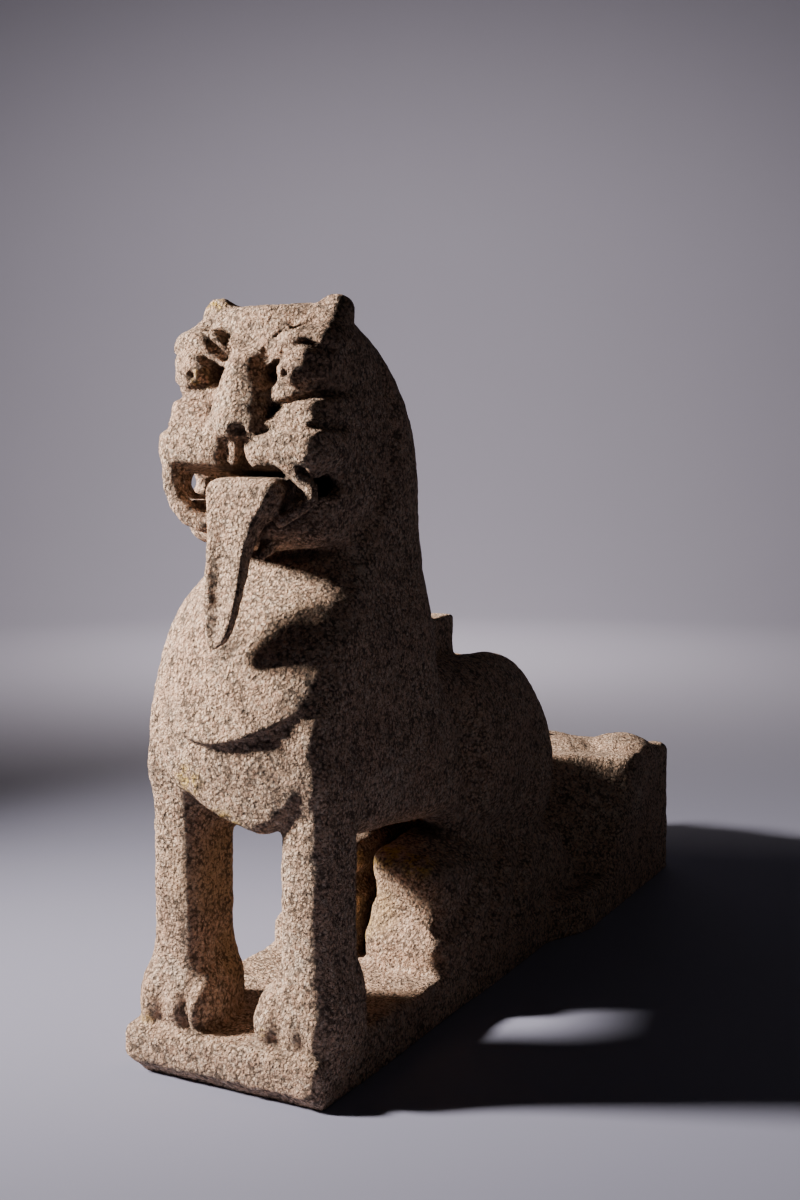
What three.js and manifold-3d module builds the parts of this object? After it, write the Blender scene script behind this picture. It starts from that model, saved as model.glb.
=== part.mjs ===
// A guardian lion carved from one block of granite: it sits up on straight front legs, its mouth
// is open with the tongue hanging on its chest, and its plinth runs back into a raw block.
// The stone is worked out as a field, negative inside and positive outside, whose zero level is
// the surface. The surface is then divided into triangles and cut flat at the underside.
// x runs to the lion's left, y to its rear and z up, with the underside at z = 0.
import * as THREE from 'three';
import { mergeVertices } from 'three/addons/utils/BufferGeometryUtils.js';
import Module from 'manifold-3d';

// Driving dimensions, in millimetres.
const OVERALL_HEIGHT = 800;
const PLINTH_LENGTH = 991;
const PLINTH_THICKNESS = 50;
const PLINTH_FRONT_WIDTH = 226;
const PLINTH_WAIST_WIDTH = 244;
const PLINTH_RIGHT_OVERHANG = 9;
const PLINTH_EDGE_WEAR = 12;
const PLINTH_CHAMFER = 14;
const PLINTH_CHAMFER_WEAR = 3;
const PLINTH_FLARE_LENGTH = 90;
const PLINTH_FLARE_GAP = 11;
const BLOCK_WIDTH = 302;
const BLOCK_HEIGHT = 205;
const BLOCK_LENGTH = 330;
const BLOCK_CORNER_CUT = 96;
const BLOCK_EDGE_WEAR = 16;
const BLOCK_PLAN_ROUNDING = 18;
const BLOCK_CORNER_WEAR = 10;
const BLOCK_WAVES = 3;
const LUMP_ROOT = 12;
const LUMP_BLEND = 20;
const FIGURE_FILLET = 7;
const HEEL_FILLET = 8;

// The surface is sampled on a grid, closer over the head, and thinned out to this many triangles.
const GRID_SPACING = 9;
const HEAD_SPACING = 6;
const TRIANGLE_GOAL = 9600;
const SLIVER_LIMIT = 0.12;
const LENGTH_COST = 1e-3;

// Heights and distances back on the lion as it is drawn, in millimetres. Its head lies above its
// throat and in front of its nape, and it stands as high as the tops of its ears.
const DRAWN = { feet: 50, throat: 430, nape: 215 };
const EAR = { centre: [70, 114, 779], radii: [20, 19, 21] };
const DRAWN_HEIGHT = EAR.centre[2] + EAR.radii[2] - DRAWN.feet;
const SCALE = (OVERALL_HEIGHT - PLINTH_THICKNESS) / DRAWN_HEIGHT;

// Math.sqrt is far quicker than Math.hypot, and these lengths are all of a plain size.
function length(x, y, z) {
  return Math.sqrt(x * x + y * y + z * z);
}

// Blends and cuts between fields.

function join(a, b, softness) {
  const near = Math.max(softness - Math.abs(a - b), 0) / softness;
  return Math.min(a, b) - near * near * softness / 4;
}

function cut(body, tool, softness) {
  return -join(-body, tool, softness);
}

function within(a, b, softness) {
  return -join(-a, -b, softness);
}

// Simple solids as fields.

function ovoid(x, y, z, centre, radii) {
  const ex = (x - centre[0]) / radii[0];
  const ey = (y - centre[1]) / radii[1];
  const ez = (z - centre[2]) / radii[2];
  const reach = length(ex, ey, ez);
  const slope = length(ex / radii[0], ey / radii[1], ez / radii[2]);
  return reach * (reach - 1) / Math.max(slope, 1e-6);
}

function roundedBox(x, y, z, centre, half, rounding) {
  const dx = Math.abs(x - centre[0]) - half[0] + rounding;
  const dy = Math.abs(y - centre[1]) - half[1] + rounding;
  const dz = Math.abs(z - centre[2]) - half[2] + rounding;
  const outside = length(Math.max(dx, 0), Math.max(dy, 0), Math.max(dz, 0));
  return outside + Math.min(Math.max(dx, dy, dz), 0) - rounding;
}

function limb(x, y, z, start, end, startRadius, endRadius) {
  const vx = end[0] - start[0];
  const vy = end[1] - start[1];
  const vz = end[2] - start[2];
  const dot = (x - start[0]) * vx + (y - start[1]) * vy + (z - start[2]) * vz;
  const share = THREE.MathUtils.clamp(dot / (vx * vx + vy * vy + vz * vz), 0, 1);
  const away = length(
    x - start[0] - share * vx,
    y - start[1] - share * vy,
    z - start[2] - share * vz,
  );
  return away - startRadius - share * (endRadius - startRadius);
}

// A round bar that follows a row of points, with a radius at its start and its end.
function bar(x, y, z, points, startRadius, endRadius) {
  const pieces = points.length - 1;
  let nearest = Infinity;
  for (let i = 0; i < pieces; i += 1) {
    const from = startRadius + (endRadius - startRadius) * i / pieces;
    const to = startRadius + (endRadius - startRadius) * (i + 1) / pieces;
    nearest = Math.min(nearest, limb(x, y, z, points[i], points[i + 1], from, to));
  }
  return nearest;
}

// An oval of the given half sizes, squarer as the power rises above two.
function oval(u, v, halfU, halfV, power) {
  const eu = Math.abs(u) / halfU;
  const ev = Math.abs(v) / halfV;
  const reach = (eu ** power + ev ** power) ** (1 / power);
  return (reach - 1) * Math.min(halfU, halfV);
}

// How deep a soft groove along a path on a plane is cut at (u, v), whatever lies behind it.
function scored(u, v, { path, width, depth }) {
  let away = Infinity;
  for (let i = 0; i < path.length - 1; i += 1) {
    const [u0, v0] = path[i];
    const du = path[i + 1][0] - u0;
    const dv = path[i + 1][1] - v0;
    const dot = (u - u0) * du + (v - v0) * dv;
    const share = THREE.MathUtils.clamp(dot / (du * du + dv * dv), 0, 1);
    away = Math.min(away, (u - u0 - share * du) ** 2 + (v - v0 - share * dv) ** 2);
  }
  return depth * Math.exp(-away / width ** 2);
}

// A curve through rows of values: the first number of a row is its place, and the curve gives
// the others there. It runs through the rows smoothly and stays level beyond its ends.
function curve(rows) {
  const slopes = rows.map((row, i) => {
    const before = rows[Math.max(i - 1, 0)];
    const after = rows[Math.min(i + 1, rows.length - 1)];
    return row.map((value, k) => (after[k] - before[k]) / (after[0] - before[0]));
  });
  return (place) => {
    const last = rows.length - 1;
    if (place <= rows[0][0]) return rows[0].slice(1);
    if (place >= rows[last][0]) return rows[last].slice(1);
    let i = 0;
    while (rows[i + 1][0] < place) i += 1;
    const span = rows[i + 1][0] - rows[i][0];
    const t = (place - rows[i][0]) / span;
    const a = (1 + 2 * t) * (1 - t) ** 2;
    const b = t * (1 - t) ** 2 * span;
    const c = t * t * (3 - 2 * t);
    const d = t * t * (t - 1) * span;
    return rows[i].slice(1).map((value, k) => (
      a * value + b * slopes[i][k + 1] + c * rows[i + 1][k + 1] + d * slopes[i + 1][k + 1]
    ));
  };
}

// The lion, in drawn millimetres: y runs back from the plinth's front edge.

// Rows by height: front, depth of the rounded front, back, depth of the rounded back, half width.
const NECK = curve([
  [262, 18, 40, 345, 100, 100],
  [300, -2, 38, 350, 100, 106],
  [351, -8, 50, 352, 100, 107],
  [385, 3, 44, 350, 105, 108],
  [444, 22, 50, 344, 110, 107],
  [485, 45, 58, 338, 112, 101],
  [513, 72, 78, 334, 114, 98],
  [550, 95, 75, 329, 116, 97],
  [632, 100, 80, 317, 116, 99],
  [690, 100, 78, 291, 110, 97],
  [745, 98, 70, 240, 88, 85],
  [775, 96, 55, 188, 58, 68],
  [790, 96, 40, 150, 36, 58],
]);
const MANE_STEP = 9;

// The lower edge of the mane: a collar line, lowest at the middle of the chest.
function hemHeight(x) {
  const share = Math.abs(x) / 105;
  return x > 0 ? 351 + 46 * share ** 1.4 : 351 + 28 * share ** 2;
}

function neck(x, y, z) {
  const [front, frontDepth, back, backDepth, halfWidth] = NECK(z);
  const middle = THREE.MathUtils.clamp(y, front + frontDepth, back - backDepth);
  const depth = y < middle ? frontDepth : backDepth;
  const section = oval(x, y - middle, halfWidth, depth, 2.1);
  const underHem = THREE.MathUtils.smoothstep(hemHeight(x) - z, -2, 5);
  const atFront = 1 - THREE.MathUtils.smoothstep(y, 34, 84);
  const atMiddle = 1 - THREE.MathUtils.smoothstep(Math.abs(x), 72, 100);
  const stepped = section + MANE_STEP * underHem * atFront * atMiddle;
  return within(within(stepped, z - 788, 16), 262 - z, 60);
}

// The breast under the mane: a swelling with a firm edge beside each leg, lowest on the left.
function chest(x, y, z) {
  const outline = oval(x - 38, z - 348, x < 38 ? 136 : 66, 90, 1.5);
  const front = 5 + 0.0012 * x * x + 0.0014 * (z - 330) ** 2 - y;
  return within(within(outline, front, 18), y - 170, 30);
}

// Rows by distance back: belly height, height of the widest place, back height, half width.
const TORSO = curve([
  [60, 262, 320, 396, 96],
  [120, 238, 312, 400, 106],
  [200, 229, 308, 398, 108],
  [284, 218, 306, 396, 108],
  [364, 208, 304, 394, 105],
  [450, 200, 298, 387, 98],
  [560, 190, 280, 355, 88],
  [650, 190, 240, 290, 70],
]);

function torso(x, y, z) {
  const [bottom, middle, top, halfWidth] = TORSO(y);
  const section = z > middle
    ? oval(x, z - middle, halfWidth, top - middle, 2.5)
    : oval(x, z - middle, halfWidth, middle - bottom, 5);
  return within(within(section, 48 - y, 50), y - 648, 60);
}

function rump(x, y, z) {
  return ovoid(x, y, z, [0, 545, 238], [76, 106, 126]);
}

function haunch(x, y, z, side) {
  const across = side * x;
  const thigh = ovoid(across, y, z, [60, 486, 266], [54, 158, 117]);
  const seat = ovoid(across, y, z, [54, 588, 208], [57, 70, 92]);
  return join(thigh, seat, 40);
}

// The groove that parts each haunch from the ribs.
const FLANK_GROOVE = [[113, 336, 392], [113, 354, 350], [113, 370, 290], [116, 384, 222]];
const FLANK_GROOVE_RADIUS = 27;

// The folded hind leg: the knee stands over the paw, the shank and foot lie along the plinth.
const KNEE_NOTCH = [[2, 262, 131], [6, 300, 131], [6, 360, 131]];
const KNEE_NOTCH_RADIUS = 14;
const HIND_HOLLOW = [
  [116, 352, 194], [108, 400, 182], [102, 458, 168], [104, 504, 158], [112, 548, 148],
];
// Ridges, as grooves of negative depth, and grooves on its outer side, by distance back and height.
const HIND_FOLDS = [
  { path: [[446, 152], [420, 132], [388, 116], [350, 86], [318, 62]], width: 12, depth: -5 },
  { path: [[486, 148], [462, 120], [432, 92], [408, 62]], width: 12, depth: -5 },
  { path: [[540, 128], [512, 100], [492, 66]], width: 12, depth: -5 },
  { path: [[470, 146], [438, 124], [408, 96], [378, 62]], width: 10, depth: 8 },
  { path: [[520, 122], [490, 96], [472, 62]], width: 10, depth: 8 },
  { path: [[400, 150], [364, 124], [322, 100], [290, 92]], width: 10, depth: 8 },
];

function hindLeg(x, y, z, side) {
  const across = side * x;
  const knee = roundedBox(across, y, z, [60, 348, 114], [52, 68, 76], 32);
  const sloped = within(knee, (z - 190 + 0.3 * (across - 12)) * 0.96, 24);
  const thigh = limb(across, y, z, [46, 360, 150], [52, 560, 160], 32, 44);
  const shank = limb(across, y, z, [64, 392, 100], [64, 632, 100], 49, 50);
  const foot = roundedBox(across, y, z, [62, 482, 64], [53, 214, 34], 24);
  let leg = join(join(sloped, thigh, 20), join(shank, foot, 20), 20);
  leg = cut(leg, bar(across, y, z, KNEE_NOTCH, KNEE_NOTCH_RADIUS, KNEE_NOTCH_RADIUS), 12);
  const outer = THREE.MathUtils.smoothstep(across, 66, 100);
  for (const fold of HIND_FOLDS) {
    leg += outer * scored(y, z, fold);
  }
  return leg;
}

// Toes of the front feet: their places across and half widths.
const LEFT_TOES = [[43, 21], [76, 15], [99, 13]];
const RIGHT_TOES = [[-94, 19], [-64, 16], [-40, 11]];

function toes(x, y, z, places, front) {
  const lobes = places.map(([place, halfWidth]) => (
    ovoid(x, y, z, [place, front + 38, 70], [halfWidth + 3, 38, 31])
  ));
  return lobes.reduce((all, lobe) => join(all, lobe, 3));
}

function leftFrontLeg(x, y, z) {
  const column = roundedBox(x, y, z, [79, 62, 182], [28, 41, 158], 19);
  const ankle = roundedBox(x, y, z, [66, 66, 68], [42, 40, 38], 24);
  return join(join(column, ankle, 40), toes(x, y, z, LEFT_TOES, 9), 9);
}

function rightFrontLeg(x, y, z) {
  const column = roundedBox(x, y, z, [-77, 68, 182], [29, 43, 158], 19);
  const ankle = roundedBox(x, y, z, [-78, 66, 66], [38, 46, 36], 24);
  return join(join(column, ankle, 36), toes(x, y, z, RIGHT_TOES, 6), 9);
}

// A broken stub on the back, behind the neck.
function backStub(x, y, z) {
  return roundedBox(x, y, z, [-2, 398, 408], [43, 60, 28], 7);
}

// The head: a broad face with heavy brows, a wide nose and full lips around an open mouth.

const FACE_RIM = [
  [86, 136, 776], [93, 152, 757], [98, 166, 735], [100, 177, 710], [102, 186, 684],
  [103, 190, 658], [103, 188, 634], [102, 179, 611], [101, 163, 590], [99, 142, 571],
  [96, 116, 557], [91, 90, 548], [86, 66, 544],
];
// Grooves and folds of the face, on each side, by place across and height.
const FACE_GROOVES = [
  { path: [[62, 772], [44, 753], [24, 733]], width: 4, depth: 5 },
  { path: [[92, 738], [72, 746], [52, 740], [38, 726]], width: 4, depth: 5 },
  { path: [[100, 700], [68, 691], [46, 684], [32, 679]], width: 5, depth: 8 },
  { path: [[102, 664], [74, 661], [48, 662], [26, 658]], width: 4, depth: 5 },
];
const LEFT_LIP = [
  [53, 34, 630], [72, 38, 612], [83, 42, 602], [84, 40, 592], [70, 36, 580], [54, 32, 571],
];
const LEFT_LIP_RADIUS = 7;
const RIGHT_LIP = [
  [-80, 40, 630], [-81, 40, 606], [-74, 40, 588], [-60, 40, 573], [-42, 42, 565],
];

function skull(x, y, z) {
  const face = roundedBox(x, y, z, [0, 120, 672], [97, 72, 118], 46);
  const forehead = (z - 742) * 0.62 - (y - 56) * 0.78;
  const nape = (0.886 * Math.abs(x) + 0.463 * y - 142) * 0.8 + (z - 759) * 0.6;
  return within(within(face, forehead, 18), nape, 14);
}

function faceSide(x, y, z, side) {
  const across = side * x;
  const browRidge = bar(across, y, z, [[22, 66, 738], [52, 62, 750], [78, 72, 744]], 12, 20);
  const socket = ovoid(across, y, z, [61, 66, 720], [30, 29, 38]);
  const eyeball = ovoid(across, y, z, [56, 47, 716], [15, 13, 12]);
  const pad = roundedBox(across, y, z, [55, 64, 645], [47, 38, 29], 27);
  const cheek = roundedBox(across, y, z, [59, 84, 678], [37, 44, 32], 28);
  const upper = join(join(browRidge, socket, 10), eyeball, 4);
  return join(join(upper, cheek, 8), pad, 6);
}

// Rows by height: half width of the nose and the front of its ridge.
const NOSE = curve([[650, 33, 20], [664, 35, 15], [700, 29, 27], [728, 21, 37], [746, 15, 54]]);

// A broad wedge with a rounded ridge, and the drop of the lip under it.
function nose(x, y, z) {
  const [halfWidth, front] = NOSE(z);
  const across = Math.sqrt((x + 1) ** 2 + 60);
  const wedge = within(across - halfWidth, front - 3 + 0.48 * across - y, 12);
  const based = within(within(wedge, 652 - z, 8), z - 744, 10);
  const philtrum = limb(x, y, z, [-3, 40, 655], [-3, 38, 630], 9, 7);
  return join(within(based, y - 90, 8), philtrum, 5);
}

// The deep inner corner of the eye, and the drilled pupil.
function eyeHollow(x, y, z, side) {
  const across = side * x;
  const corner = limb(across, y, z, [33, 40, 713], [29, 62, 718], 9, 7);
  const pupil = limb(across, y, z, [55, 20, 715], [56, 40, 716], 4, 4);
  return Math.min(corner, pupil);
}

function lowerJaw(x, y, z) {
  const jaw = roundedBox(x, y, z, [0, 118, 568], [88, 60, 27], 26);
  const chin = ovoid(x, y, z, [0, 74, 566], [66, 42, 28]);
  const chip = limb(x, y, z, [27, 38, 536], [24, 62, 547], 7, 10);
  return join(join(jaw, chin, 14), chip, 3);
}

// The open mouth, whose roof slopes down to the rear, and a hole drilled through each cheek.
const LEFT_CHEEK_HOLE = 70;
const RIGHT_CHEEK_HOLE = 87;

function mouth(x, y, z) {
  const opening = roundedBox(x, y, z, [0, 50, 607], [81, 62, 18], 12);
  const cavity = within(opening, z - 624 + 0.2 * (y - 30), 3);
  const back = x > 0 ? LEFT_CHEEK_HOLE : RIGHT_CHEEK_HOLE;
  const cheekHole = limb(Math.abs(x), y, z, [60, back, 606], [125, back, 606], 12, 12);
  return Math.min(cavity, cheekHole);
}

function ear(x, y, z, side) {
  const across = side * x;
  const shell = ovoid(across, y, z, EAR.centre, EAR.radii);
  return cut(shell, ovoid(across, y, z, [68, 90, 792], [8, 12, 8]), 7);
}

// Rows by height: middle of the tongue, half width, front, depth of its groove, thickness.
const TONGUE = curve([
  [443, -5, 5, -6, 3, 12],
  [455, 0, 12, -6, 6, 15],
  [493, 4, 20, -5, 9, 19],
  [533, 6, 23, -1, 8, 24],
  [563, 10, 27, 3, 5, 29],
  [588, 15, 35, 6, 2, 38],
  [612, 18, 42, 12, 0, 46],
]);

function tongue(x, y, z) {
  const [middle, halfWidth, front, depth, thickness] = TONGUE(z);
  const across = Math.abs(x - middle);
  const grooveMiddle = middle - 0.3 * halfWidth;
  const aside = (x > grooveMiddle ? 1.25 : 0.7) * halfWidth;
  const groove = depth * Math.max(1 - Math.sqrt((x - grooveMiddle) ** 2 + 6) / aside, -0.1);
  const face = front + groove + 0.05 * across - y;
  const hanging = within(within(across - halfWidth, face, 6), y - front - thickness, 8);
  const ended = within(within(hanging, 443 - z, 6), z - 612, 14);
  const root = roundedBox(x, y, z, [14, 80, 592], [42, 62, 17], 12);
  return join(ended, root, 12);
}

function head(x, y, z) {
  let form = skull(x, y, z);
  form = join(form, faceSide(x, y, z, 1), 12);
  form = join(form, faceSide(x, y, z, -1), 12);
  form = cut(form, eyeHollow(x, y, z, 1), 6);
  form = cut(form, eyeHollow(x, y, z, -1), 6);
  const atFront = 1 - THREE.MathUtils.smoothstep(y, 70, 110);
  for (const groove of FACE_GROOVES) {
    form += atFront * scored(Math.abs(x), z, groove);
  }
  form = join(form, nose(x, y, z), 4);
  form = cut(form, ovoid(x, y, z, [-21, 16, 662], [6, 9, 5]), 3);
  form = cut(form, ovoid(x, y, z, [12, 16, 659], [9, 12, 7]), 3);
  form = join(form, ear(x, y, z, 1), 8);
  form = join(form, ear(x, y, z, -1), 8);
  form = join(form, lowerJaw(x, y, z), 8);
  form = cut(form, mouth(x, y, z), 5);
  form = join(form, bar(x, y, z, LEFT_LIP, LEFT_LIP_RADIUS, LEFT_LIP_RADIUS), 4);
  form = join(form, bar(x, y, z, RIGHT_LIP, 12, 10), 5);
  return form;
}

function lion(x, y, z) {
  let form = join(torso(x, y, z), rump(x, y, z), 40);
  for (const side of [1, -1]) {
    form = join(form, haunch(x, y, z, side), 22);
    const flank = bar(side * x, y, z, FLANK_GROOVE, FLANK_GROOVE_RADIUS, FLANK_GROOVE_RADIUS);
    form = cut(form, flank, 22);
  }
  form = join(form, neck(x, y, z), 16);
  const legs = join(leftFrontLeg(x, y, z), rightFrontLeg(x, y, z), 4);
  form = join(join(form, legs, 12), chest(x, y, z), 5);
  form = join(form, backStub(x, y, z), 8);
  for (const side of [1, -1]) {
    form = cut(form, bar(side * x, y, z, FACE_RIM, 9, 12), 14);
  }
  form = join(form, head(x, y, z), 6);
  form = join(form, tongue(x, y, z), 4);
  for (const side of [1, -1]) {
    form = join(form, hindLeg(x, y, z, side), 8);
    form = cut(form, bar(side * x, y, z, HIND_HOLLOW, 24, 9), 10);
  }
  return form;
}

// The plinth and the raw block behind it.

// Half width of the plinth, which flares to the block's width behind the haunches. At the front
// it stands out further on the lion's right.
function plinthHalfWidth(x, y) {
  const flareEnd = PLINTH_LENGTH - BLOCK_LENGTH - PLINTH_FLARE_GAP;
  const flareStart = flareEnd - PLINTH_FLARE_LENGTH;
  const waist = PLINTH_WAIST_WIDTH / 2;
  const front = PLINTH_FRONT_WIDTH / 2 + (x < 0 ? PLINTH_RIGHT_OVERHANG : 0);
  const straight = front + (waist - front) * THREE.MathUtils.clamp(y / flareStart, 0, 1);
  const flare = THREE.MathUtils.smoothstep(y, flareStart, flareEnd);
  return straight + (BLOCK_WIDTH / 2 - straight) * flare;
}

function plinth(x, y, z) {
  const sides = Math.abs(x) - plinthHalfWidth(x, y);
  const ends = Math.max(-y, y - PLINTH_LENGTH + BLOCK_LENGTH / 2);
  const plan = within(sides, ends, PLINTH_EDGE_WEAR);
  const slab = within(plan, z - PLINTH_THICKNESS, PLINTH_EDGE_WEAR);
  const chamfer = (PLINTH_CHAMFER - z - y) * Math.SQRT1_2;
  return within(slab, chamfer, PLINTH_CHAMFER_WEAR);
}

// The block's front corners are cut back: where the cut starts as a share of its length, how far
// the cut leans out for each millimetre down, and how much the top falls beyond its start.
const BLOCK_CORNER_START = 0.23;
const BLOCK_BATTER = 0.55;
const BLOCK_TOP_FALL = 0.06;
// How quickly the waves of the rough top follow each other, across and back, and their slant.
const WAVE_SPREAD = { across: 21, back: 29, slant: 90, offset: 0.6 };

function block(x, y, z) {
  const across = Math.abs(x);
  const front = PLINTH_LENGTH - BLOCK_LENGTH;
  const ends = Math.max(front - y, y - PLINTH_LENGTH);
  const plan = within(across - BLOCK_WIDTH / 2, ends, BLOCK_PLAN_ROUNDING);
  const cornerStart = front + BLOCK_LENGTH * BLOCK_CORNER_START;
  const batter = BLOCK_BATTER * (BLOCK_HEIGHT - z);
  const reach = across - BLOCK_WIDTH / 2 + BLOCK_CORNER_CUT - (y - cornerStart) - batter;
  const waveAcross = Math.sin(x / WAVE_SPREAD.across + WAVE_SPREAD.offset);
  const waveBack = Math.sin(y / WAVE_SPREAD.back + x / WAVE_SPREAD.slant);
  const waves = BLOCK_WAVES * waveAcross * waveBack;
  const fall = BLOCK_TOP_FALL * Math.max(y - cornerStart, 0);
  const top = z - BLOCK_HEIGHT + fall + waves;
  const corner = within(plan, reach * Math.SQRT1_2, BLOCK_CORNER_WEAR);
  return within(corner, top, BLOCK_EDGE_WEAR);
}

// Unworked lumps on top of the block, as shares of its length back and half its width across.
const LUMPS = [
  { back: 0.74, across: 0.66, height: 8, reach: 44 },
  { back: 0.60, across: 0.15, height: 3, reach: 40 },
  { back: 0.70, across: -0.5, height: 5, reach: 60 },
];

function lumps(x, y, z) {
  let all = Infinity;
  for (const { back, across, height, reach } of LUMPS) {
    const centre = [
      across * BLOCK_WIDTH / 2,
      PLINTH_LENGTH - BLOCK_LENGTH * (1 - back),
      BLOCK_HEIGHT - LUMP_ROOT,
    ];
    all = Math.min(all, ovoid(x, y, z, centre, [reach, reach, height + LUMP_ROOT]));
  }
  return all;
}

// A bottom corner of the plinth that is broken off, at the front on the lion's right: where the
// middle of the break lies from the corner, and how far it reaches across, back and up.
const BREAK = { place: [-6, 4, -2], reach: [24, 40, 20], wear: 4 };

function brokenCorner(x, y, z) {
  const corner = PLINTH_FRONT_WIDTH / 2 + PLINTH_RIGHT_OVERHANG;
  return ovoid(x + corner, y, z, BREAK.place, BREAK.reach);
}

// The hollows worked into the stone between the haunch, the heel and the raw block.
function heelHollows(x, y, z) {
  const across = Math.abs(x);
  const cave = ovoid(across, y, z, [104, 690, 152], [42, 46, 24]);
  const cleft = bar(across, y, z, [[116, 668, 140], [128, 682, 104], [140, 700, 66]], 15, 11);
  return join(cave, cleft, 10);
}

// The whole stone, in real millimetres, with y measured back from the plinth's front edge.
function stone(x, y, z) {
  const lx = x / SCALE;
  const ly = y / SCALE;
  const lz = (z - PLINTH_THICKNESS) / SCALE + DRAWN.feet;
  const slab = cut(plinth(x, y, z), brokenCorner(x, y, z), BREAK.wear);
  const ground = join(Math.min(slab, block(x, y, z)), lumps(x, y, z), LUMP_BLEND);
  const figure = lion(lx, ly, lz) * SCALE;
  const joined = join(ground, figure, FIGURE_FILLET);
  return cut(joined, heelHollows(lx, ly, lz) * SCALE, HEEL_FILLET);
}

// Dividing the surface into triangles. Each cell of the grid is six corner tetrahedra, whose
// edges run along x, y, z and the diagonals between them, so the surface is always closed.

function linesBetween(low, high, spacing) {
  const count = Math.max(Math.round((high - low) / spacing), 1);
  return Array.from({ length: count + 1 }, (_, i) => low + (high - low) * i / count);
}

// The places of the grid's lines along x, y and z.
function gridLines() {
  const margin = 2 * GRID_SPACING;
  const halfWidth = BLOCK_WIDTH / 2 + margin;
  const nape = DRAWN.nape * SCALE;
  const throat = (DRAWN.throat - DRAWN.feet) * SCALE + PLINTH_THICKNESS;
  const alongHead = linesBetween(-2 * margin, nape, HEAD_SPACING);
  const alongBack = linesBetween(nape, PLINTH_LENGTH + margin, GRID_SPACING);
  const belowHead = linesBetween(-margin - 1.3, throat, GRID_SPACING);
  const upHead = linesBetween(throat, OVERALL_HEIGHT + margin, HEAD_SPACING);
  return [
    linesBetween(-halfWidth, halfWidth, HEAD_SPACING),
    [...alongHead, ...alongBack.slice(1)],
    [...belowHead, ...upHead.slice(1)],
  ];
}

function sampleField(field, lines) {
  const values = new Float64Array(lines[0].length * lines[1].length * lines[2].length);
  let index = 0;
  for (const z of lines[2]) {
    for (const y of lines[1]) {
      for (const x of lines[0]) {
        const value = field(x, y, z);
        values[index] = Math.abs(value) < 1e-3 ? 1e-3 : value;
        index += 1;
      }
    }
  }
  return values;
}

function surfaceTriangles(field, lines) {
  const values = sampleField(field, lines);
  const counts = lines.map((places) => places.length);
  const steps = [1, counts[0], counts[0] * counts[1]];
  const orders = [[0, 1, 2], [1, 2, 0], [2, 0, 1], [0, 2, 1], [2, 1, 0], [1, 0, 2]];
  const nodes = values.length;
  const crossings = new Map();
  const points = [];
  const faces = [];

  function place(node) {
    const i = node % counts[0];
    const j = Math.floor(node / counts[0]) % counts[1];
    const k = Math.floor(node / steps[2]);
    return [lines[0][i], lines[1][j], lines[2][k]];
  }

  function crossing(a, b) {
    const key = Math.min(a, b) * nodes + Math.max(a, b);
    if (!crossings.has(key)) {
      const share = THREE.MathUtils.clamp(values[a] / (values[a] - values[b]), 0.04, 0.96);
      const from = place(a);
      const to = place(b);
      crossings.set(key, points.length);
      points.push(from.map((value, n) => value + share * (to[n] - value)));
    }
    return crossings.get(key);
  }

  // One tetrahedron: its corners in an order whose turning direction is given by the flip.
  function divide(corners, flip) {
    const inside = corners.filter((corner) => values[corner] < 0);
    const outside = corners.filter((corner) => values[corner] >= 0);
    if (inside.length === 0 || outside.length === 0) return;
    const parity = permutationSign(corners, [...inside, ...outside]) * (flip ? -1 : 1);
    const add = (a, b, c) => faces.push(parity > 0 ? [a, b, c] : [a, c, b]);
    if (inside.length === 1) {
      const [p] = inside;
      add(crossing(p, outside[0]), crossing(p, outside[1]), crossing(p, outside[2]));
    } else if (inside.length === 3) {
      const [q] = outside;
      add(crossing(inside[0], q), crossing(inside[1], q), crossing(inside[2], q));
    } else {
      const a = crossing(inside[0], outside[0]);
      const b = crossing(inside[0], outside[1]);
      const c = crossing(inside[1], outside[1]);
      const d = crossing(inside[1], outside[0]);
      add(a, b, c);
      add(a, c, d);
    }
  }

  for (let k = 0; k < counts[2] - 1; k += 1) {
    for (let j = 0; j < counts[1] - 1; j += 1) {
      for (let i = 0; i < counts[0] - 1; i += 1) {
        const base = i + j * steps[1] + k * steps[2];
        orders.forEach((order, n) => {
          const first = base + steps[order[0]];
          const second = first + steps[order[1]];
          divide([base, first, second, second + steps[order[2]]], n > 2);
        });
      }
    }
  }
  return { points, faces };
}

function permutationSign(from, to) {
  const order = to.map((item) => from.indexOf(item));
  let sign = 1;
  for (let i = 0; i < order.length; i += 1) {
    for (let j = i + 1; j < order.length; j += 1) {
      if (order[i] > order[j]) sign = -sign;
    }
  }
  return sign;
}

// Thinning out. Edges are drawn together in order of the error that this makes, measured by the
// squared distances to the planes of the triangles around them.

function planeError(q, p) {
  const [x, y, z] = p;
  return q[0] * x * x + 2 * q[1] * x * y + 2 * q[2] * x * z + 2 * q[3] * x
    + q[4] * y * y + 2 * q[5] * y * z + 2 * q[6] * y + q[7] * z * z + 2 * q[8] * z + q[9];
}

function faceNormal(a, b, c) {
  const ux = b[0] - a[0];
  const uy = b[1] - a[1];
  const uz = b[2] - a[2];
  const vx = c[0] - a[0];
  const vy = c[1] - a[1];
  const vz = c[2] - a[2];
  return [uy * vz - uz * vy, uz * vx - ux * vz, ux * vy - uy * vx];
}

function squaredGap(a, b) {
  return (a[0] - b[0]) ** 2 + (a[1] - b[1]) ** 2 + (a[2] - b[2]) ** 2;
}

// Twice a triangle's area over the square of its longest side: near zero for a sliver.
function fullness(a, b, c, normal) {
  return length(...normal) / Math.max(squaredGap(a, b), squaredGap(b, c), squaredGap(c, a));
}

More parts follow.
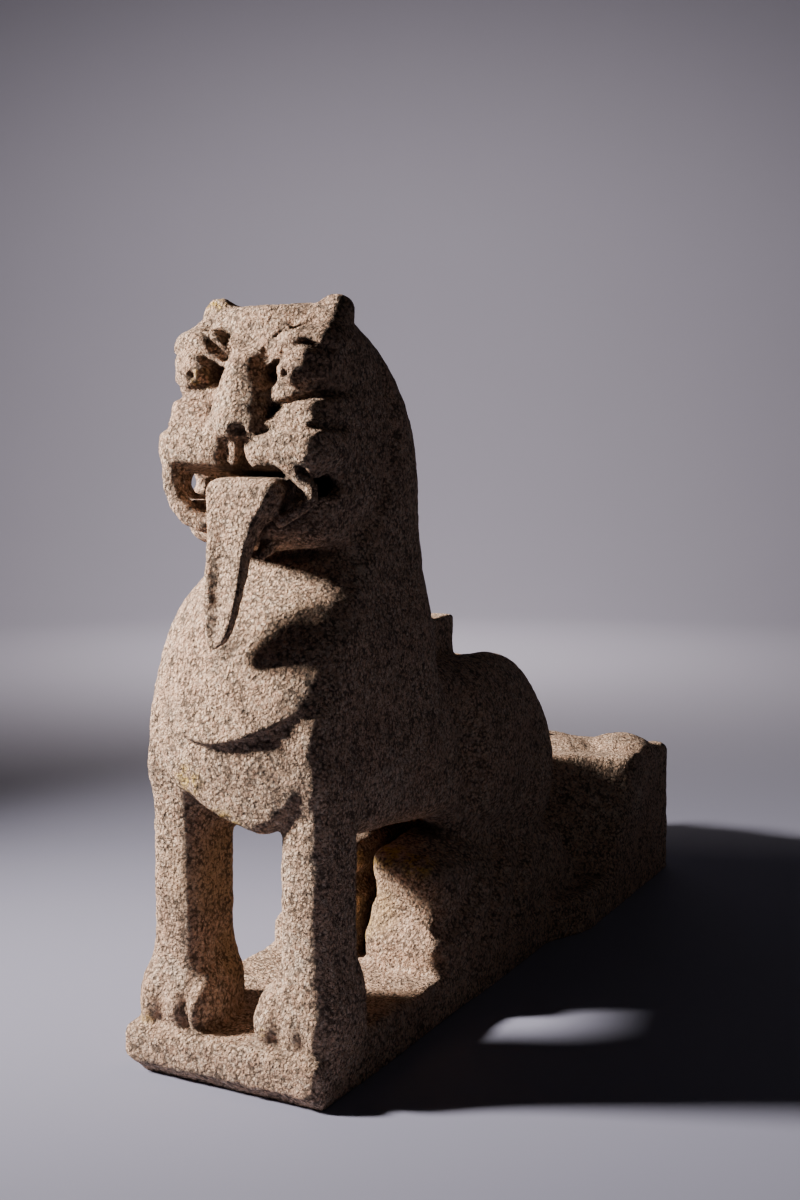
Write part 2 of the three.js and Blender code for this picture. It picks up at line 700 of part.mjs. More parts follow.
// The point of least error on two joined sets of planes, or their middle where none is near.
function bestPoint(q, a, b) {
  const middle = [(a[0] + b[0]) / 2, (a[1] + b[1]) / 2, (a[2] + b[2]) / 2];
  const minorX = q[4] * q[7] - q[5] * q[5];
  const minorY = q[1] * q[7] - q[5] * q[2];
  const minorZ = q[1] * q[5] - q[4] * q[2];
  const det = q[0] * minorX - q[1] * minorY + q[2] * minorZ;
  if (Math.abs(det) < 1e-3 * (q[0] + q[4] + q[7]) ** 3) return middle;
  const x = -(q[3] * minorX - q[1] * (q[6] * q[7] - q[5] * q[8])
    + q[2] * (q[6] * q[5] - q[4] * q[8])) / det;
  const y = -(q[0] * (q[6] * q[7] - q[8] * q[5]) - q[3] * minorY
    + q[2] * (q[1] * q[8] - q[6] * q[2])) / det;
  const z = -(q[0] * (q[4] * q[8] - q[5] * q[6]) - q[1] * (q[1] * q[8] - q[2] * q[6])
    + q[3] * minorZ) / det;
  const best = [x, y, z];
  return squaredGap(best, middle) < squaredGap(a, b) ? best : middle;
}

// A queue that gives back its item of least error first.
class Queue {
  constructor() {
    this.items = [];
  }

  push(item) {
    const { items } = this;
    let i = items.length;
    items.push(item);
    while (i > 0) {
      const parent = (i - 1) >> 1;
      if (items[parent].error <= item.error) break;
      items[i] = items[parent];
      i = parent;
    }
    items[i] = item;
  }

  pop() {
    const { items } = this;
    const top = items[0];
    const last = items.pop();
    if (items.length === 0) return top;
    let i = 0;
    for (;;) {
      let child = 2 * i + 1;
      if (child >= items.length) break;
      if (child + 1 < items.length && items[child + 1].error < items[child].error) child += 1;
      if (items[child].error >= last.error) break;
      items[i] = items[child];
      i = child;
    }
    items[i] = last;
    return top;
  }
}

function planeSums(points, faces) {
  const sums = points.map(() => new Float64Array(10));
  for (const [a, b, c] of faces) {
    const normal = faceNormal(points[a], points[b], points[c]);
    const size = Math.max(length(...normal), 1e-9);
    const [nx, ny, nz] = normal.map((value) => value / size);
    const d = -(nx * points[a][0] + ny * points[a][1] + nz * points[a][2]);
    const plane = [nx * nx, nx * ny, nx * nz, nx * d, ny * ny, ny * nz, ny * d, nz * nz, nz * d,
      d * d];
    for (const corner of [a, b, c]) {
      for (let n = 0; n < 10; n += 1) sums[corner][n] += plane[n] * size / 2;
    }
  }
  return sums;
}

function thinOut(points, faces, goal) {
  const sums = planeSums(points, faces);
  const around = points.map(() => new Set());
  const version = new Uint32Array(points.length);
  faces.forEach((face, f) => face.forEach((corner) => around[corner].add(f)));
  const joined = new Float64Array(10);
  let count = faces.length;
  let queue = new Queue();

  function neighbours(a) {
    const found = new Set();
    for (const f of around[a]) {
      for (const corner of faces[f]) {
        if (corner !== a) found.add(corner);
      }
    }
    return found;
  }

  function target(a, b) {
    for (let n = 0; n < 10; n += 1) joined[n] = sums[a][n] + sums[b][n];
    return bestPoint(joined, points[a], points[b]);
  }

  function consider(a, b) {
    const place = target(a, b);
    const error = planeError(joined, place) + LENGTH_COST * squaredGap(points[a], points[b]);
    queue.push({ error, a, b, versionA: version[a], versionB: version[b] });
  }

  // Whether the faces around a point keep their direction and fullness when it moves.
  function keepsFaces(a, b, place) {
    for (const f of around[a]) {
      if (around[b].has(f)) continue;
      const old = faces[f].map((corner) => points[corner]);
      const moved = faces[f].map((corner) => (corner === a ? place : points[corner]));
      const before = faceNormal(...old);
      const after = faceNormal(...moved);
      const oldFullness = fullness(...old, before);
      const newFullness = fullness(...moved, after);
      const dot = before[0] * after[0] + before[1] * after[1] + before[2] * after[2];
      const turned = dot < 0.3 * length(...before) * length(...after);
      if (turned && oldFullness > SLIVER_LIMIT) return false;
      if (newFullness < SLIVER_LIMIT && newFullness < 0.6 * oldFullness) return false;
    }
    return true;
  }

  function drawTogether(a, b, place) {
    for (const f of around[b]) {
      if (around[a].has(f)) {
        for (const corner of faces[f]) {
          if (corner !== b) around[corner].delete(f);
        }
        faces[f] = null;
        count -= 1;
      } else {
        faces[f] = faces[f].map((corner) => (corner === b ? a : corner));
        around[a].add(f);
      }
    }
    around[b].clear();
    points[a] = place;
    for (let n = 0; n < 10; n += 1) sums[a][n] += sums[b][n];
    version[a] += 1;
    version[b] += 1;
    for (const other of neighbours(a)) consider(a, other);
  }

  function pass() {
    queue = new Queue();
    for (let a = 0; a < points.length; a += 1) {
      for (const b of neighbours(a)) {
        if (a < b) consider(a, b);
      }
    }
    const countBefore = count;
    while (count > goal && queue.items.length > 0) {
      const { a, b, versionA, versionB } = queue.pop();
      if (versionA !== version[a] || versionB !== version[b]) continue;
      const nearA = neighbours(a);
      const shared = [...neighbours(b)].filter((other) => nearA.has(other));
      const place = target(a, b);
      if (shared.length === 2 && keepsFaces(a, b, place) && keepsFaces(b, a, place)) {
        drawTogether(a, b, place);
      }
    }
    return countBefore - count;
  }

  while (count > goal) {
    if (pass() === 0) break;
  }
  return faces.filter((face) => face !== null);
}

function geometryOf(points, faces) {
  const geometry = new THREE.BufferGeometry();
  const positions = faces.flatMap((face) => face.flatMap((corner) => points[corner]));
  geometry.setAttribute('position', new THREE.Float32BufferAttribute(positions, 3));
  return mergeVertices(geometry, 1e-3);
}

const wasm = await Module();
wasm.setup();

function solidOf(geometry) {
  const bare = geometry.clone();
  bare.deleteAttribute('normal');
  bare.deleteAttribute('uv');
  const merged = mergeVertices(bare, 1e-3);
  return new wasm.Manifold(new wasm.Mesh({
    numProp: 3,
    vertProperties: new Float32Array(merged.attributes.position.array),
    triVerts: new Uint32Array(merged.index.array),
  }));
}

function geometryFrom(solid) {
  const mesh = solid.getMesh();
  const geometry = new THREE.BufferGeometry();
  geometry.setAttribute('position', new THREE.Float32BufferAttribute(mesh.vertProperties, 3));
  geometry.setIndex([...mesh.triVerts]);
  return geometry;
}

// The field is followed a little below the underside, then cut off flat at z = 0.
function stoneGeometry() {
  const { points, faces } = surfaceTriangles(
    (x, y, z) => within(stone(x, y, z), -z - GRID_SPACING, 1),
    gridLines(),
  );
  const thinned = thinOut(points, faces, TRIANGLE_GOAL);
  const size = [4 * BLOCK_WIDTH, 4 * PLINTH_LENGTH, 2 * OVERALL_HEIGHT];
  const above = new THREE.BoxGeometry(...size);
  above.translate(0, PLINTH_LENGTH / 2, OVERALL_HEIGHT);
  const geometry = geometryFrom(solidOf(geometryOf(points, thinned)).intersect(solidOf(above)));
  geometry.computeBoundingBox();
  const middle = geometry.boundingBox.getCenter(new THREE.Vector3());
  geometry.translate(-middle.x, -middle.y, 0);
  geometry.computeVertexNormals();
  return geometry;
}

const granite = new THREE.MeshStandardMaterial({ color: 0xa8998a, roughness: 0.95, metalness: 0 });
const lionMesh = new THREE.Mesh(stoneGeometry(), granite);
lionMesh.name = 'lion';

const sculpture = new THREE.Group();
sculpture.add(lionMesh);
export default sculpture;
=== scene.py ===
"""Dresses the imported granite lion: its surface, its stone, a plain floor, soft light, a camera.

The stone is worked out as a field in millimetres, negative inside, as the CAD source does it.
x runs to the lion's left, y back from the plinth's front edge and z up from the underside.
"""

import math

import bpy
import numpy as np
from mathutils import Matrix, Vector, noise


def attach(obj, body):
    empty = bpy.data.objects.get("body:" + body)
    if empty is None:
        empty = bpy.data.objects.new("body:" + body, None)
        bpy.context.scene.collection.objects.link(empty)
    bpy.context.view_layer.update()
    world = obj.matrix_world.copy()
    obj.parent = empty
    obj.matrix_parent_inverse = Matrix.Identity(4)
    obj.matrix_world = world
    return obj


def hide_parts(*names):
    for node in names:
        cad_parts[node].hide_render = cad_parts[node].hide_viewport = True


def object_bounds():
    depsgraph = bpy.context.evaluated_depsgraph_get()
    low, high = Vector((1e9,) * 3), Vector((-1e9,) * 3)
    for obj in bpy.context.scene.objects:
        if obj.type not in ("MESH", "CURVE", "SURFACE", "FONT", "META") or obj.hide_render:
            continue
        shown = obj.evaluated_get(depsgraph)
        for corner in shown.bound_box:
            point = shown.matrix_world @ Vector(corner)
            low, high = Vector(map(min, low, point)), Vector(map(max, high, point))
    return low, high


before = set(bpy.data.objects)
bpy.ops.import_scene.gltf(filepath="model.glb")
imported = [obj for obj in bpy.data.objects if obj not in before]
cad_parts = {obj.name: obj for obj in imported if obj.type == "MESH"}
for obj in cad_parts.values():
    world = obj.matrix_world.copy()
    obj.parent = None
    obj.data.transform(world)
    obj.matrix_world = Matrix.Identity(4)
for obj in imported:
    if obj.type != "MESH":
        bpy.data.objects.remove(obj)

CAD_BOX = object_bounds()

# Driving dimensions, in millimetres, as in the CAD source.
OVERALL_HEIGHT = 800
PLINTH_LENGTH = 991
PLINTH_THICKNESS = 50
PLINTH_FRONT_WIDTH = 226
PLINTH_WAIST_WIDTH = 244
PLINTH_RIGHT_OVERHANG = 9
PLINTH_EDGE_WEAR = 12
PLINTH_CHAMFER = 14
PLINTH_FLARE_LENGTH = 90
BLOCK_WIDTH = 302
BLOCK_HEIGHT = 205
BLOCK_LENGTH = 330
BLOCK_CORNER_CUT = 96
BLOCK_EDGE_WEAR = 16
BLOCK_PLAN_ROUNDING = 18
BLOCK_CORNER_START = 0.23
BLOCK_BATTER = 0.55
BLOCK_TOP_FALL = 0.06
BLOCK_WAVES = 3
BROKEN_CORNER = (24, 40, 20)

# The lion is drawn between these heights, and scaled to its real height.
DRAWN_TOP = 800
DRAWN_FEET = 50
SCALE = (OVERALL_HEIGHT - PLINTH_THICKNESS) / (DRAWN_TOP - DRAWN_FEET)

# The frame's origin lies this far behind the plinth's front edge, in metres.
ORIGIN_BACK = PLINTH_LENGTH / 1000 - CAD_BOX[1].y

# The surface is followed on a grid, finer at the head than elsewhere.
HEAD_STEP = 3.9
BODY_STEP = 5.0
BLOCK_STEP = 6.5
ACROSS_STEP = 4.5
HEAD_BOTTOM = 430.0
HEAD_BACK = 215.0
# How far the grid goes beyond the stone.
SIDE_MARGIN = 8
FRONT_MARGIN = 22
BACK_MARGIN = 8
BOTTOM_MARGIN = 9.3
TOP_MARGIN = 10
# Away from the surface, beyond this reach, the field comes from a coarser grid.
COARSE_STEP = 16.0
REACH = 26.0
# How many points the field is worked out for at a time.
PART_SIZE = 20000


# Blends and cuts between fields.


def join(a, b, softness):
    near = np.maximum(softness - np.abs(a - b), 0) / softness
    return np.minimum(a, b) - near * near * softness / 4


def cut(body, tool, softness):
    return -join(-body, tool, softness)


def within(a, b, softness):
    return -join(-a, -b, softness)


def smoothstep(value, low, high):
    t = np.clip((value - low) / (high - low), 0, 1)
    return t * t * (3 - 2 * t)


# Simple solids as fields.


def length(x, y, z):
    return np.sqrt(x * x + y * y + z * z)


def ovoid(x, y, z, centre, radii):
    ex = (x - centre[0]) / radii[0]
    ey = (y - centre[1]) / radii[1]
    ez = (z - centre[2]) / radii[2]
    reach = length(ex, ey, ez)
    slope = length(ex / radii[0], ey / radii[1], ez / radii[2])
    return reach * (reach - 1) / np.maximum(slope, 1e-6)


def rounded_box(x, y, z, centre, half, rounding):
    dx = np.abs(x - centre[0]) - half[0] + rounding
    dy = np.abs(y - centre[1]) - half[1] + rounding
    dz = np.abs(z - centre[2]) - half[2] + rounding
    outside = length(np.maximum(dx, 0), np.maximum(dy, 0), np.maximum(dz, 0))
    inside = np.minimum(np.maximum(np.maximum(dx, dy), dz), 0)
    return outside + inside - rounding


def limb(x, y, z, start, end, start_radius, end_radius):
    vx, vy, vz = (end[n] - start[n] for n in range(3))
    dot = (x - start[0]) * vx + (y - start[1]) * vy + (z - start[2]) * vz
    share = np.clip(dot / (vx * vx + vy * vy + vz * vz), 0, 1)
    away = length(x - start[0] - share * vx, y - start[1] - share * vy, z - start[2] - share * vz)
    return away - start_radius - share * (end_radius - start_radius)


def bar(x, y, z, points, start_radius, end_radius):
    """A round bar that follows a row of points, with a radius at its start and its end."""
    pieces = len(points) - 1
    nearest = np.inf
    for i in range(pieces):
        first = start_radius + (end_radius - start_radius) * i / pieces
        last = start_radius + (end_radius - start_radius) * (i + 1) / pieces
        nearest = np.minimum(nearest, limb(x, y, z, points[i], points[i + 1], first, last))
    return nearest


def oval(u, v, half_u, half_v, power):
    """An oval of the given half sizes, squarer as the power rises above two."""
    reach = ((np.abs(u) / half_u) ** power + (np.abs(v) / half_v) ** power) ** (1 / power)
    return (reach - 1) * np.minimum(half_u, half_v)


def scored(u, v, path, width, depth):
    """How deep a soft groove along a path on a plane is cut at (u, v), whatever lies behind it."""
    away = np.inf
    for (u0, v0), (u1, v1) in zip(path[:-1], path[1:]):
        du, dv = u1 - u0, v1 - v0
        share = np.clip(((u - u0) * du + (v - v0) * dv) / (du * du + dv * dv), 0, 1)
        away = np.minimum(away, (u - u0 - share * du) ** 2 + (v - v0 - share * dv) ** 2)
    return depth * np.exp(-away / width ** 2)


def curve(rows):
    """A smooth curve through rows: the first number of a row is its place, then its values."""
    table = np.array(rows, float)
    before = np.vstack([table[:1], table[:-1]])
    after = np.vstack([table[1:], table[-1:]])
    places = table[:, 0]
    slopes = (after - before) / (after - before)[:, :1]

    def at(place):
        place = np.clip(place, places[0], places[-1])
        i = np.clip(np.searchsorted(places, place) - 1, 0, len(places) - 2)
        span = places[i + 1] - places[i]
        t = (place - places[i]) / span
        a = (1 + 2 * t) * (1 - t) ** 2
        b = t * (1 - t) ** 2 * span
        c = t * t * (3 - 2 * t)
        d = t * t * (t - 1) * span
        return [
            a * table[i, k] + b * slopes[i, k] + c * table[i + 1, k] + d * slopes[i + 1, k]
            for k in range(1, table.shape[1])
        ]

    return at


# The lion, in drawn millimetres: y runs back from the plinth's front edge.

# Rows by height: front, depth of the rounded front, back, depth of the rounded back, half width.
NECK = curve([
    [262, 18, 40, 345, 100, 100],
    [300, -2, 38, 350, 100, 106],
    [351, -8, 50, 352, 100, 107],
    [385, 3, 44, 350, 105, 108],
    [444, 22, 50, 344, 110, 107],
    [485, 45, 58, 338, 112, 101],
    [513, 72, 78, 334, 114, 98],
    [550, 95, 75, 329, 116, 97],
    [632, 100, 80, 317, 116, 99],
    [690, 100, 78, 291, 110, 97],
    [745, 98, 70, 240, 88, 85],
    [775, 96, 55, 188, 58, 68],
    [790, 96, 40, 150, 36, 58],
])
MANE_STEP = 9


HEM_LOWEST = 351
HEM_REACH = 105
HEM_LEFT_RISE = 46
HEM_RIGHT_RISE = 28


def hem_height(x):
    """The lower edge of the mane: a collar line, lowest at the middle of the chest."""
    share = np.abs(x) / HEM_REACH
    left = HEM_LOWEST + HEM_LEFT_RISE * share ** 1.4
    right = HEM_LOWEST + HEM_RIGHT_RISE * share ** 2
    return np.where(x > 0, left, right)


def neck(x, y, z):
    front, front_depth, back, back_depth, half_width = NECK(z)
    middle = np.minimum(np.maximum(y, front + front_depth), back - back_depth)
    depth = np.where(y < middle, front_depth, back_depth)
    section = oval(x, y - middle, half_width, depth, 2.1)
    under_hem = smoothstep(hem_height(x) - z, -2, 5)
    at_front = (1 - smoothstep(y, 34, 84)) * (1 - smoothstep(np.abs(x), 72, 100))
    stepped = section + MANE_STEP * under_hem * at_front
    return within(within(stepped, z - 788, 16), 262 - z, 60)


def chest(x, y, z):
    """The breast under the mane: a swelling with a firm edge beside each leg."""
    outline = oval(x - 38, z - 348, np.where(x < 38, 136, 66), 90, 1.5)
    front = 5 + 0.0012 * x * x + 0.0014 * (z - 330) ** 2 - y
    return within(within(outline, front, 18), y - 170, 30)


# Rows by distance back: belly height, height of the widest place, back height, half width.
TORSO = curve([
    [60, 262, 320, 396, 96],
    [120, 238, 312, 400, 106],
    [200, 229, 308, 398, 108],
    [284, 218, 306, 396, 108],
    [364, 208, 304, 394, 105],
    [450, 200, 298, 387, 98],
    [560, 190, 280, 355, 88],
    [650, 190, 240, 290, 70],
])


def torso(x, y, z):
    bottom, middle, top, half_width = TORSO(y)
    upper = oval(x, z - middle, half_width, top - middle, 2.5)
    lower = oval(x, z - middle, half_width, middle - bottom, 5)
    section = np.where(z > middle, upper, lower)
    return within(within(section, 48 - y, 50), y - 648, 60)


def rump(x, y, z):
    return ovoid(x, y, z, [0, 545, 238], [76, 106, 126])


def haunch(x, y, z, side):
    across = side * x
    thigh = ovoid(across, y, z, [60, 486, 266], [54, 158, 117])
    seat = ovoid(across, y, z, [54, 588, 208], [57, 70, 92])
    return join(thigh, seat, 40)


# The groove that parts each haunch from the ribs.
FLANK_GROOVE = [[113, 336, 392], [113, 354, 350], [113, 370, 290], [116, 384, 222]]
FLANK_GROOVE_RADIUS = 27

# The folded hind leg: the knee stands over the paw, the shank and foot lie along the plinth.
KNEE_NOTCH = [[2, 262, 131], [6, 300, 131], [6, 360, 131]]
HIND_HOLLOW = [[116, 352, 194], [108, 400, 182], [102, 458, 168], [104, 504, 158], [112, 548, 148]]
# Ridges and grooves on its outer side, by distance back and height.
HIND_RIDGES = [
    [(446, 152), (420, 132), (388, 116), (350, 86), (318, 62)],
    [(486, 148), (462, 120), (432, 92), (408, 62)],
    [(540, 128), (512, 100), (492, 66)],
]
HIND_GROOVES = [
    [(470, 146), (438, 124), (408, 96), (378, 62)],
    [(520, 122), (490, 96), (472, 62)],
    [(400, 150), (364, 124), (322, 100), (290, 92)],
]


def hind_leg(x, y, z, side):
    across = side * x
    knee = rounded_box(across, y, z, [60, 348, 114], [52, 68, 76], 32)
    sloped = within(knee, (z - 190 + 0.3 * (across - 12)) * 0.96, 24)
    thigh = limb(across, y, z, [46, 360, 150], [52, 560, 160], 32, 44)
    shank = limb(across, y, z, [64, 392, 100], [64, 632, 100], 49, 50)
    foot = rounded_box(across, y, z, [62, 482, 64], [53, 214, 34], 24)
    leg = join(join(sloped, thigh, 20), join(shank, foot, 20), 20)
    leg = cut(leg, bar(across, y, z, KNEE_NOTCH, 14, 14), 12)
    outer = smoothstep(across, 66, 100)
    relief = 0.0
    for path in HIND_RIDGES:
        relief = relief - scored(y, z, path, 12, 5)
    for path in HIND_GROOVES:
        relief = relief + scored(y, z, path, 10, 8)
    return leg + relief * outer


# Toes of the front feet: places across and half widths.
LEFT_TOES = [(43, 21), (76, 15), (99, 13)]
RIGHT_TOES = [(-94, 19), (-64, 16), (-40, 11)]


def toes(x, y, z, places, front):
    lobes = np.inf
    for place, half_width in places:
        lobe = ovoid(x, y, z, [place, front + 38, 70], [half_width + 3, 38, 31])
        lobes = join(lobes, lobe, 3)
    return lobes


def left_front_leg(x, y, z):
    column = rounded_box(x, y, z, [79, 62, 182], [28, 41, 158], 19)
    ankle = rounded_box(x, y, z, [66, 66, 68], [42, 40, 38], 24)
    return join(join(column, ankle, 40), toes(x, y, z, LEFT_TOES, 9), 9)


def right_front_leg(x, y, z):
    column = rounded_box(x, y, z, [-77, 68, 182], [29, 43, 158], 19)
    ankle = rounded_box(x, y, z, [-78, 66, 66], [38, 46, 36], 24)
    return join(join(column, ankle, 36), toes(x, y, z, RIGHT_TOES, 6), 9)


def back_stub(x, y, z):
    """A broken stub on the back, behind the neck."""
    return rounded_box(x, y, z, [-2, 398, 408], [43, 60, 28], 7)


# The head: a broad face with heavy brows, a wide nose and full lips around an open mouth.

FACE_RIM = [
    [86, 136, 776], [93, 152, 757], [98, 166, 735], [100, 177, 710], [102, 186, 684],
    [103, 190, 658], [103, 188, 634], [102, 179, 611], [101, 163, 590], [99, 142, 571],
    [96, 116, 557], [91, 90, 548], [86, 66, 544],
]
# Grooves and folds of the face, on each side, by place across and height.
FACE_GROOVES = [
    {"path": [(62, 772), (44, 753), (24, 733)], "width": 4, "depth": 5},
    {"path": [(48, 778), (31, 756), (20, 738)], "width": 3.5, "depth": 4.5},
    {"path": [(92, 738), (72, 746), (52, 740), (38, 726)], "width": 4, "depth": 5},
    {"path": [(84, 724), (66, 732), (48, 728)], "width": 3, "depth": 3},
    {"path": [(86, 706), (66, 699), (46, 704)], "width": 3.5, "depth": 4},
    {"path": [(100, 700), (68, 691), (46, 684), (32, 679)], "width": 5, "depth": 8},
    {"path": [(102, 664), (74, 661), (48, 662), (26, 658)], "width": 4, "depth": 5},
]
# The folds at the corners of the mouth.
LEFT_LIP = [
    [53, 34, 630], [72, 38, 612], [83, 42, 602], [84, 40, 592], [70, 36, 580], [54, 32, 571],
]
RIGHT_LIP = [[-80, 40, 630], [-81, 40, 606], [-74, 40, 588], [-60, 40, 573], [-42, 42, 565]]
# Small knobs along the lower edge of the upper lip, by their places across.
LIP_KNOBS = (21, 36, 51, 65, 79)
LIP_KNOB_HEIGHT = 619
LIP_KNOB_RADII = [8, 11, 8]


def skull(x, y, z):
    face = rounded_box(x, y, z, [0, 120, 672], [97, 72, 118], 46)
    forehead = (z - 742) * 0.62 - (y - 56) * 0.78
    nape = (0.886 * np.abs(x) + 0.463 * y - 142) * 0.8 + (z - 759) * 0.6
    return within(within(face, forehead, 18), nape, 14)


def face_side(x, y, z, side):
    across = side * x
    brow_ridge = bar(across, y, z, [[22, 66, 738], [52, 62, 750], [78, 72, 744]], 12, 20)
    socket = ovoid(across, y, z, [61, 66, 720], [30, 29, 38])
    eyeball = ovoid(across, y, z, [56, 47, 716], [15, 13, 12])
    pad = rounded_box(across, y, z, [53, 64, 645], [49, 38, 29], 25)
    for place in LIP_KNOBS:
        centre = [place, 36 + 0.0018 * place ** 2, LIP_KNOB_HEIGHT]
        pad = join(pad, ovoid(across, y, z, centre, LIP_KNOB_RADII), 3)
    cheek = rounded_box(across, y, z, [59, 84, 678], [37, 44, 32], 28)
    upper = join(join(brow_ridge, socket, 10), eyeball, 4)
    return join(join(upper, cheek, 8), pad, 6)


# Rows by height: half width of the nose and the front of its ridge.
NOSE = curve([[650, 33, 20], [664, 35, 15], [700, 29, 27], [728, 21, 37], [746, 15, 54]])


def nose(x, y, z):
    """A broad wedge with a rounded ridge, and the drop of the lip under it."""
    half_width, front = NOSE(z)
    across = np.sqrt((x + 1) ** 2 + 60)
    wedge = within(across - half_width, front - 3 + 0.48 * across - y, 12)
    based = within(within(wedge, 652 - z, 8), z - 744, 10)
    philtrum = limb(x, y, z, [-3, 40, 655], [-3, 38, 630], 9, 7)
    return join(within(based, y - 90, 8), philtrum, 5)


def eye_hollow(x, y, z, side):
    """The deep inner corner of the eye, and the drilled pupil."""
    across = side * x
    corner = limb(across, y, z, [33, 40, 713], [29, 62, 718], 9, 7)
    pupil = limb(across, y, z, [55, 20, 715], [56, 38, 716], 3, 3)
    return np.minimum(corner, pupil)


def lower_jaw(x, y, z):
    jaw = rounded_box(x, y, z, [0, 118, 568], [88, 60, 27], 26)
    chin = ovoid(x, y, z, [0, 74, 566], [66, 42, 28])
    chip = limb(x, y, z, [27, 38, 536], [24, 62, 547], 7, 10)
    return join(join(jaw, chin, 14), chip, 3)


# The open mouth, whose roof slopes down to the rear, and a hole drilled through each cheek: the
# side it is on and how far back.
CHEEK_HOLES = [(1, 70), (-1, 87)]
CHEEK_HOLE_RADIUS = 12


def mouth(x, y, z):
    opening = rounded_box(x, y, z, [0, 50, 607], [81, 62, 18], 12)
    cavity = within(opening, z - 624 + 0.2 * (y - 30), 3)
    for side, back in CHEEK_HOLES:
        hole = limb(
            side * x, y, z, [60, back, 606], [125, back, 606], CHEEK_HOLE_RADIUS, CHEEK_HOLE_RADIUS
        )
        cavity = np.minimum(cavity, hole)
    return cavity


def ear(x, y, z, side):
    across = side * x
    shell = ovoid(across, y, z, [70, 114, 779], [20, 19, 21])
    return cut(shell, ovoid(across, y, z, [68, 90, 792], [8, 12, 8]), 7)


# Rows by height: middle of the tongue, half width, front, depth of its groove, thickness.
TONGUE = curve([
    [443, -5, 5, -6, 3, 12],
    [455, 0, 12, -6, 6, 15],
    [493, 4, 20, -5, 9, 19],
    [533, 6, 23, -1, 8, 24],
    [563, 10, 27, 3, 5, 29],
    [588, 15, 35, 6, 2, 38],
    [612, 18, 42, 12, 0, 46],
])


def tongue(x, y, z):
    middle, half_width, front, depth, thickness = TONGUE(z)
    across = np.abs(x - middle)
    groove_middle = middle - 0.3 * half_width
    aside = np.where(x > groove_middle, 1.25, 0.7) * half_width
    groove = depth * np.maximum(1 - np.sqrt((x - groove_middle) ** 2 + 6) / aside, -0.1)
    face = front + groove + 0.05 * across - y
    hanging = within(within(across - half_width, face, 6), y - front - thickness, 8)
    ended = within(within(hanging, 443 - z, 6), z - 612, 14)
    root = rounded_box(x, y, z, [14, 80, 592], [42, 62, 17], 12)
    return join(ended, root, 12)


def head(x, y, z):
    form = skull(x, y, z)
    form = join(form, face_side(x, y, z, 1), 12)
    form = join(form, face_side(x, y, z, -1), 12)
    form = cut(form, eye_hollow(x, y, z, 1), 6)
    form = cut(form, eye_hollow(x, y, z, -1), 6)
    at_front = 1 - smoothstep(y, 70, 110)
    for groove in FACE_GROOVES:
        form = form + at_front * scored(np.abs(x), z, **groove)
    form = join(form, nose(x, y, z), 4)
    form = cut(form, ovoid(x, y, z, [-21, 16, 662], [6, 9, 5]), 3)
    form = cut(form, ovoid(x, y, z, [12, 16, 659], [9, 12, 7]), 3)
    form = join(form, ear(x, y, z, 1), 8)
    form = join(form, ear(x, y, z, -1), 8)
    form = join(form, lower_jaw(x, y, z), 8)
    form = cut(form, mouth(x, y, z), 5)
    form = join(form, bar(x, y, z, LEFT_LIP, 7, 7), 4)
    form = join(form, bar(x, y, z, RIGHT_LIP, 12, 10), 5)
    return form


def lion(x, y, z):
    form = join(torso(x, y, z), rump(x, y, z), 40)
    for side in (1, -1):
        form = join(form, haunch(x, y, z, side), 22)
        flank = bar(side * x, y, z, FLANK_GROOVE, FLANK_GROOVE_RADIUS, FLANK_GROOVE_RADIUS)
        form = cut(form, flank, 22)
    form = join(form, neck(x, y, z), 16)
    legs = join(left_front_leg(x, y, z), right_front_leg(x, y, z), 4)
    form = join(join(form, legs, 12), chest(x, y, z), 5)
    form = join(form, back_stub(x, y, z), 8)
    for side in (1, -1):
        form = cut(form, bar(side * x, y, z, FACE_RIM, 9, 12), 14)
    form = join(form, head(x, y, z), 6)
    form = join(form, tongue(x, y, z), 4)
    for side in (1, -1):
        form = join(form, hind_leg(x, y, z, side), 8)
        form = cut(form, bar(side * x, y, z, HIND_HOLLOW, 24, 9), 10)
    return form


# The plinth and the raw block behind it.


def plinth_half_width(x, y):
    """Half width of the plinth, which flares to the block's width behind the haunches."""
    flare_end = PLINTH_LENGTH - BLOCK_LENGTH - 11
    flare_start = flare_end - PLINTH_FLARE_LENGTH
    waist = PLINTH_WAIST_WIDTH / 2
    front = PLINTH_FRONT_WIDTH / 2 + np.where(x < 0, PLINTH_RIGHT_OVERHANG, 0)
    straight = front + (waist - front) * np.clip(y / flare_start, 0, 1)
    return straight + (BLOCK_WIDTH / 2 - straight) * smoothstep(y, flare_start, flare_end)


def plinth(x, y, z):
    sides = np.abs(x) - plinth_half_width(x, y)
    ends = np.maximum(-y, y - PLINTH_LENGTH + BLOCK_LENGTH / 2)
    plan = within(sides, ends, PLINTH_EDGE_WEAR)
    slab = within(plan, z - PLINTH_THICKNESS, PLINTH_EDGE_WEAR)
    chamfer = (PLINTH_CHAMFER - z - y) * math.sqrt(0.5)
    return within(slab, chamfer, 3)


def block(x, y, z):
    across = np.abs(x)
    front = PLINTH_LENGTH - BLOCK_LENGTH
    ends = np.maximum(front - y, y - PLINTH_LENGTH)
    plan = within(across - BLOCK_WIDTH / 2, ends, BLOCK_PLAN_ROUNDING)
    corner_start = front + BLOCK_LENGTH * BLOCK_CORNER_START
    batter = BLOCK_BATTER * (BLOCK_HEIGHT - z)
    reach = across - BLOCK_WIDTH / 2 + BLOCK_CORNER_CUT - (y - corner_start) - batter
    waves = BLOCK_WAVES * np.sin(x / 21 + 0.6) * np.sin(y / 29 + x / 90)
    top = z - BLOCK_HEIGHT + BLOCK_TOP_FALL * np.maximum(y - corner_start, 0) + waves
    return within(within(plan, reach * math.sqrt(0.5), 10), top, BLOCK_EDGE_WEAR)


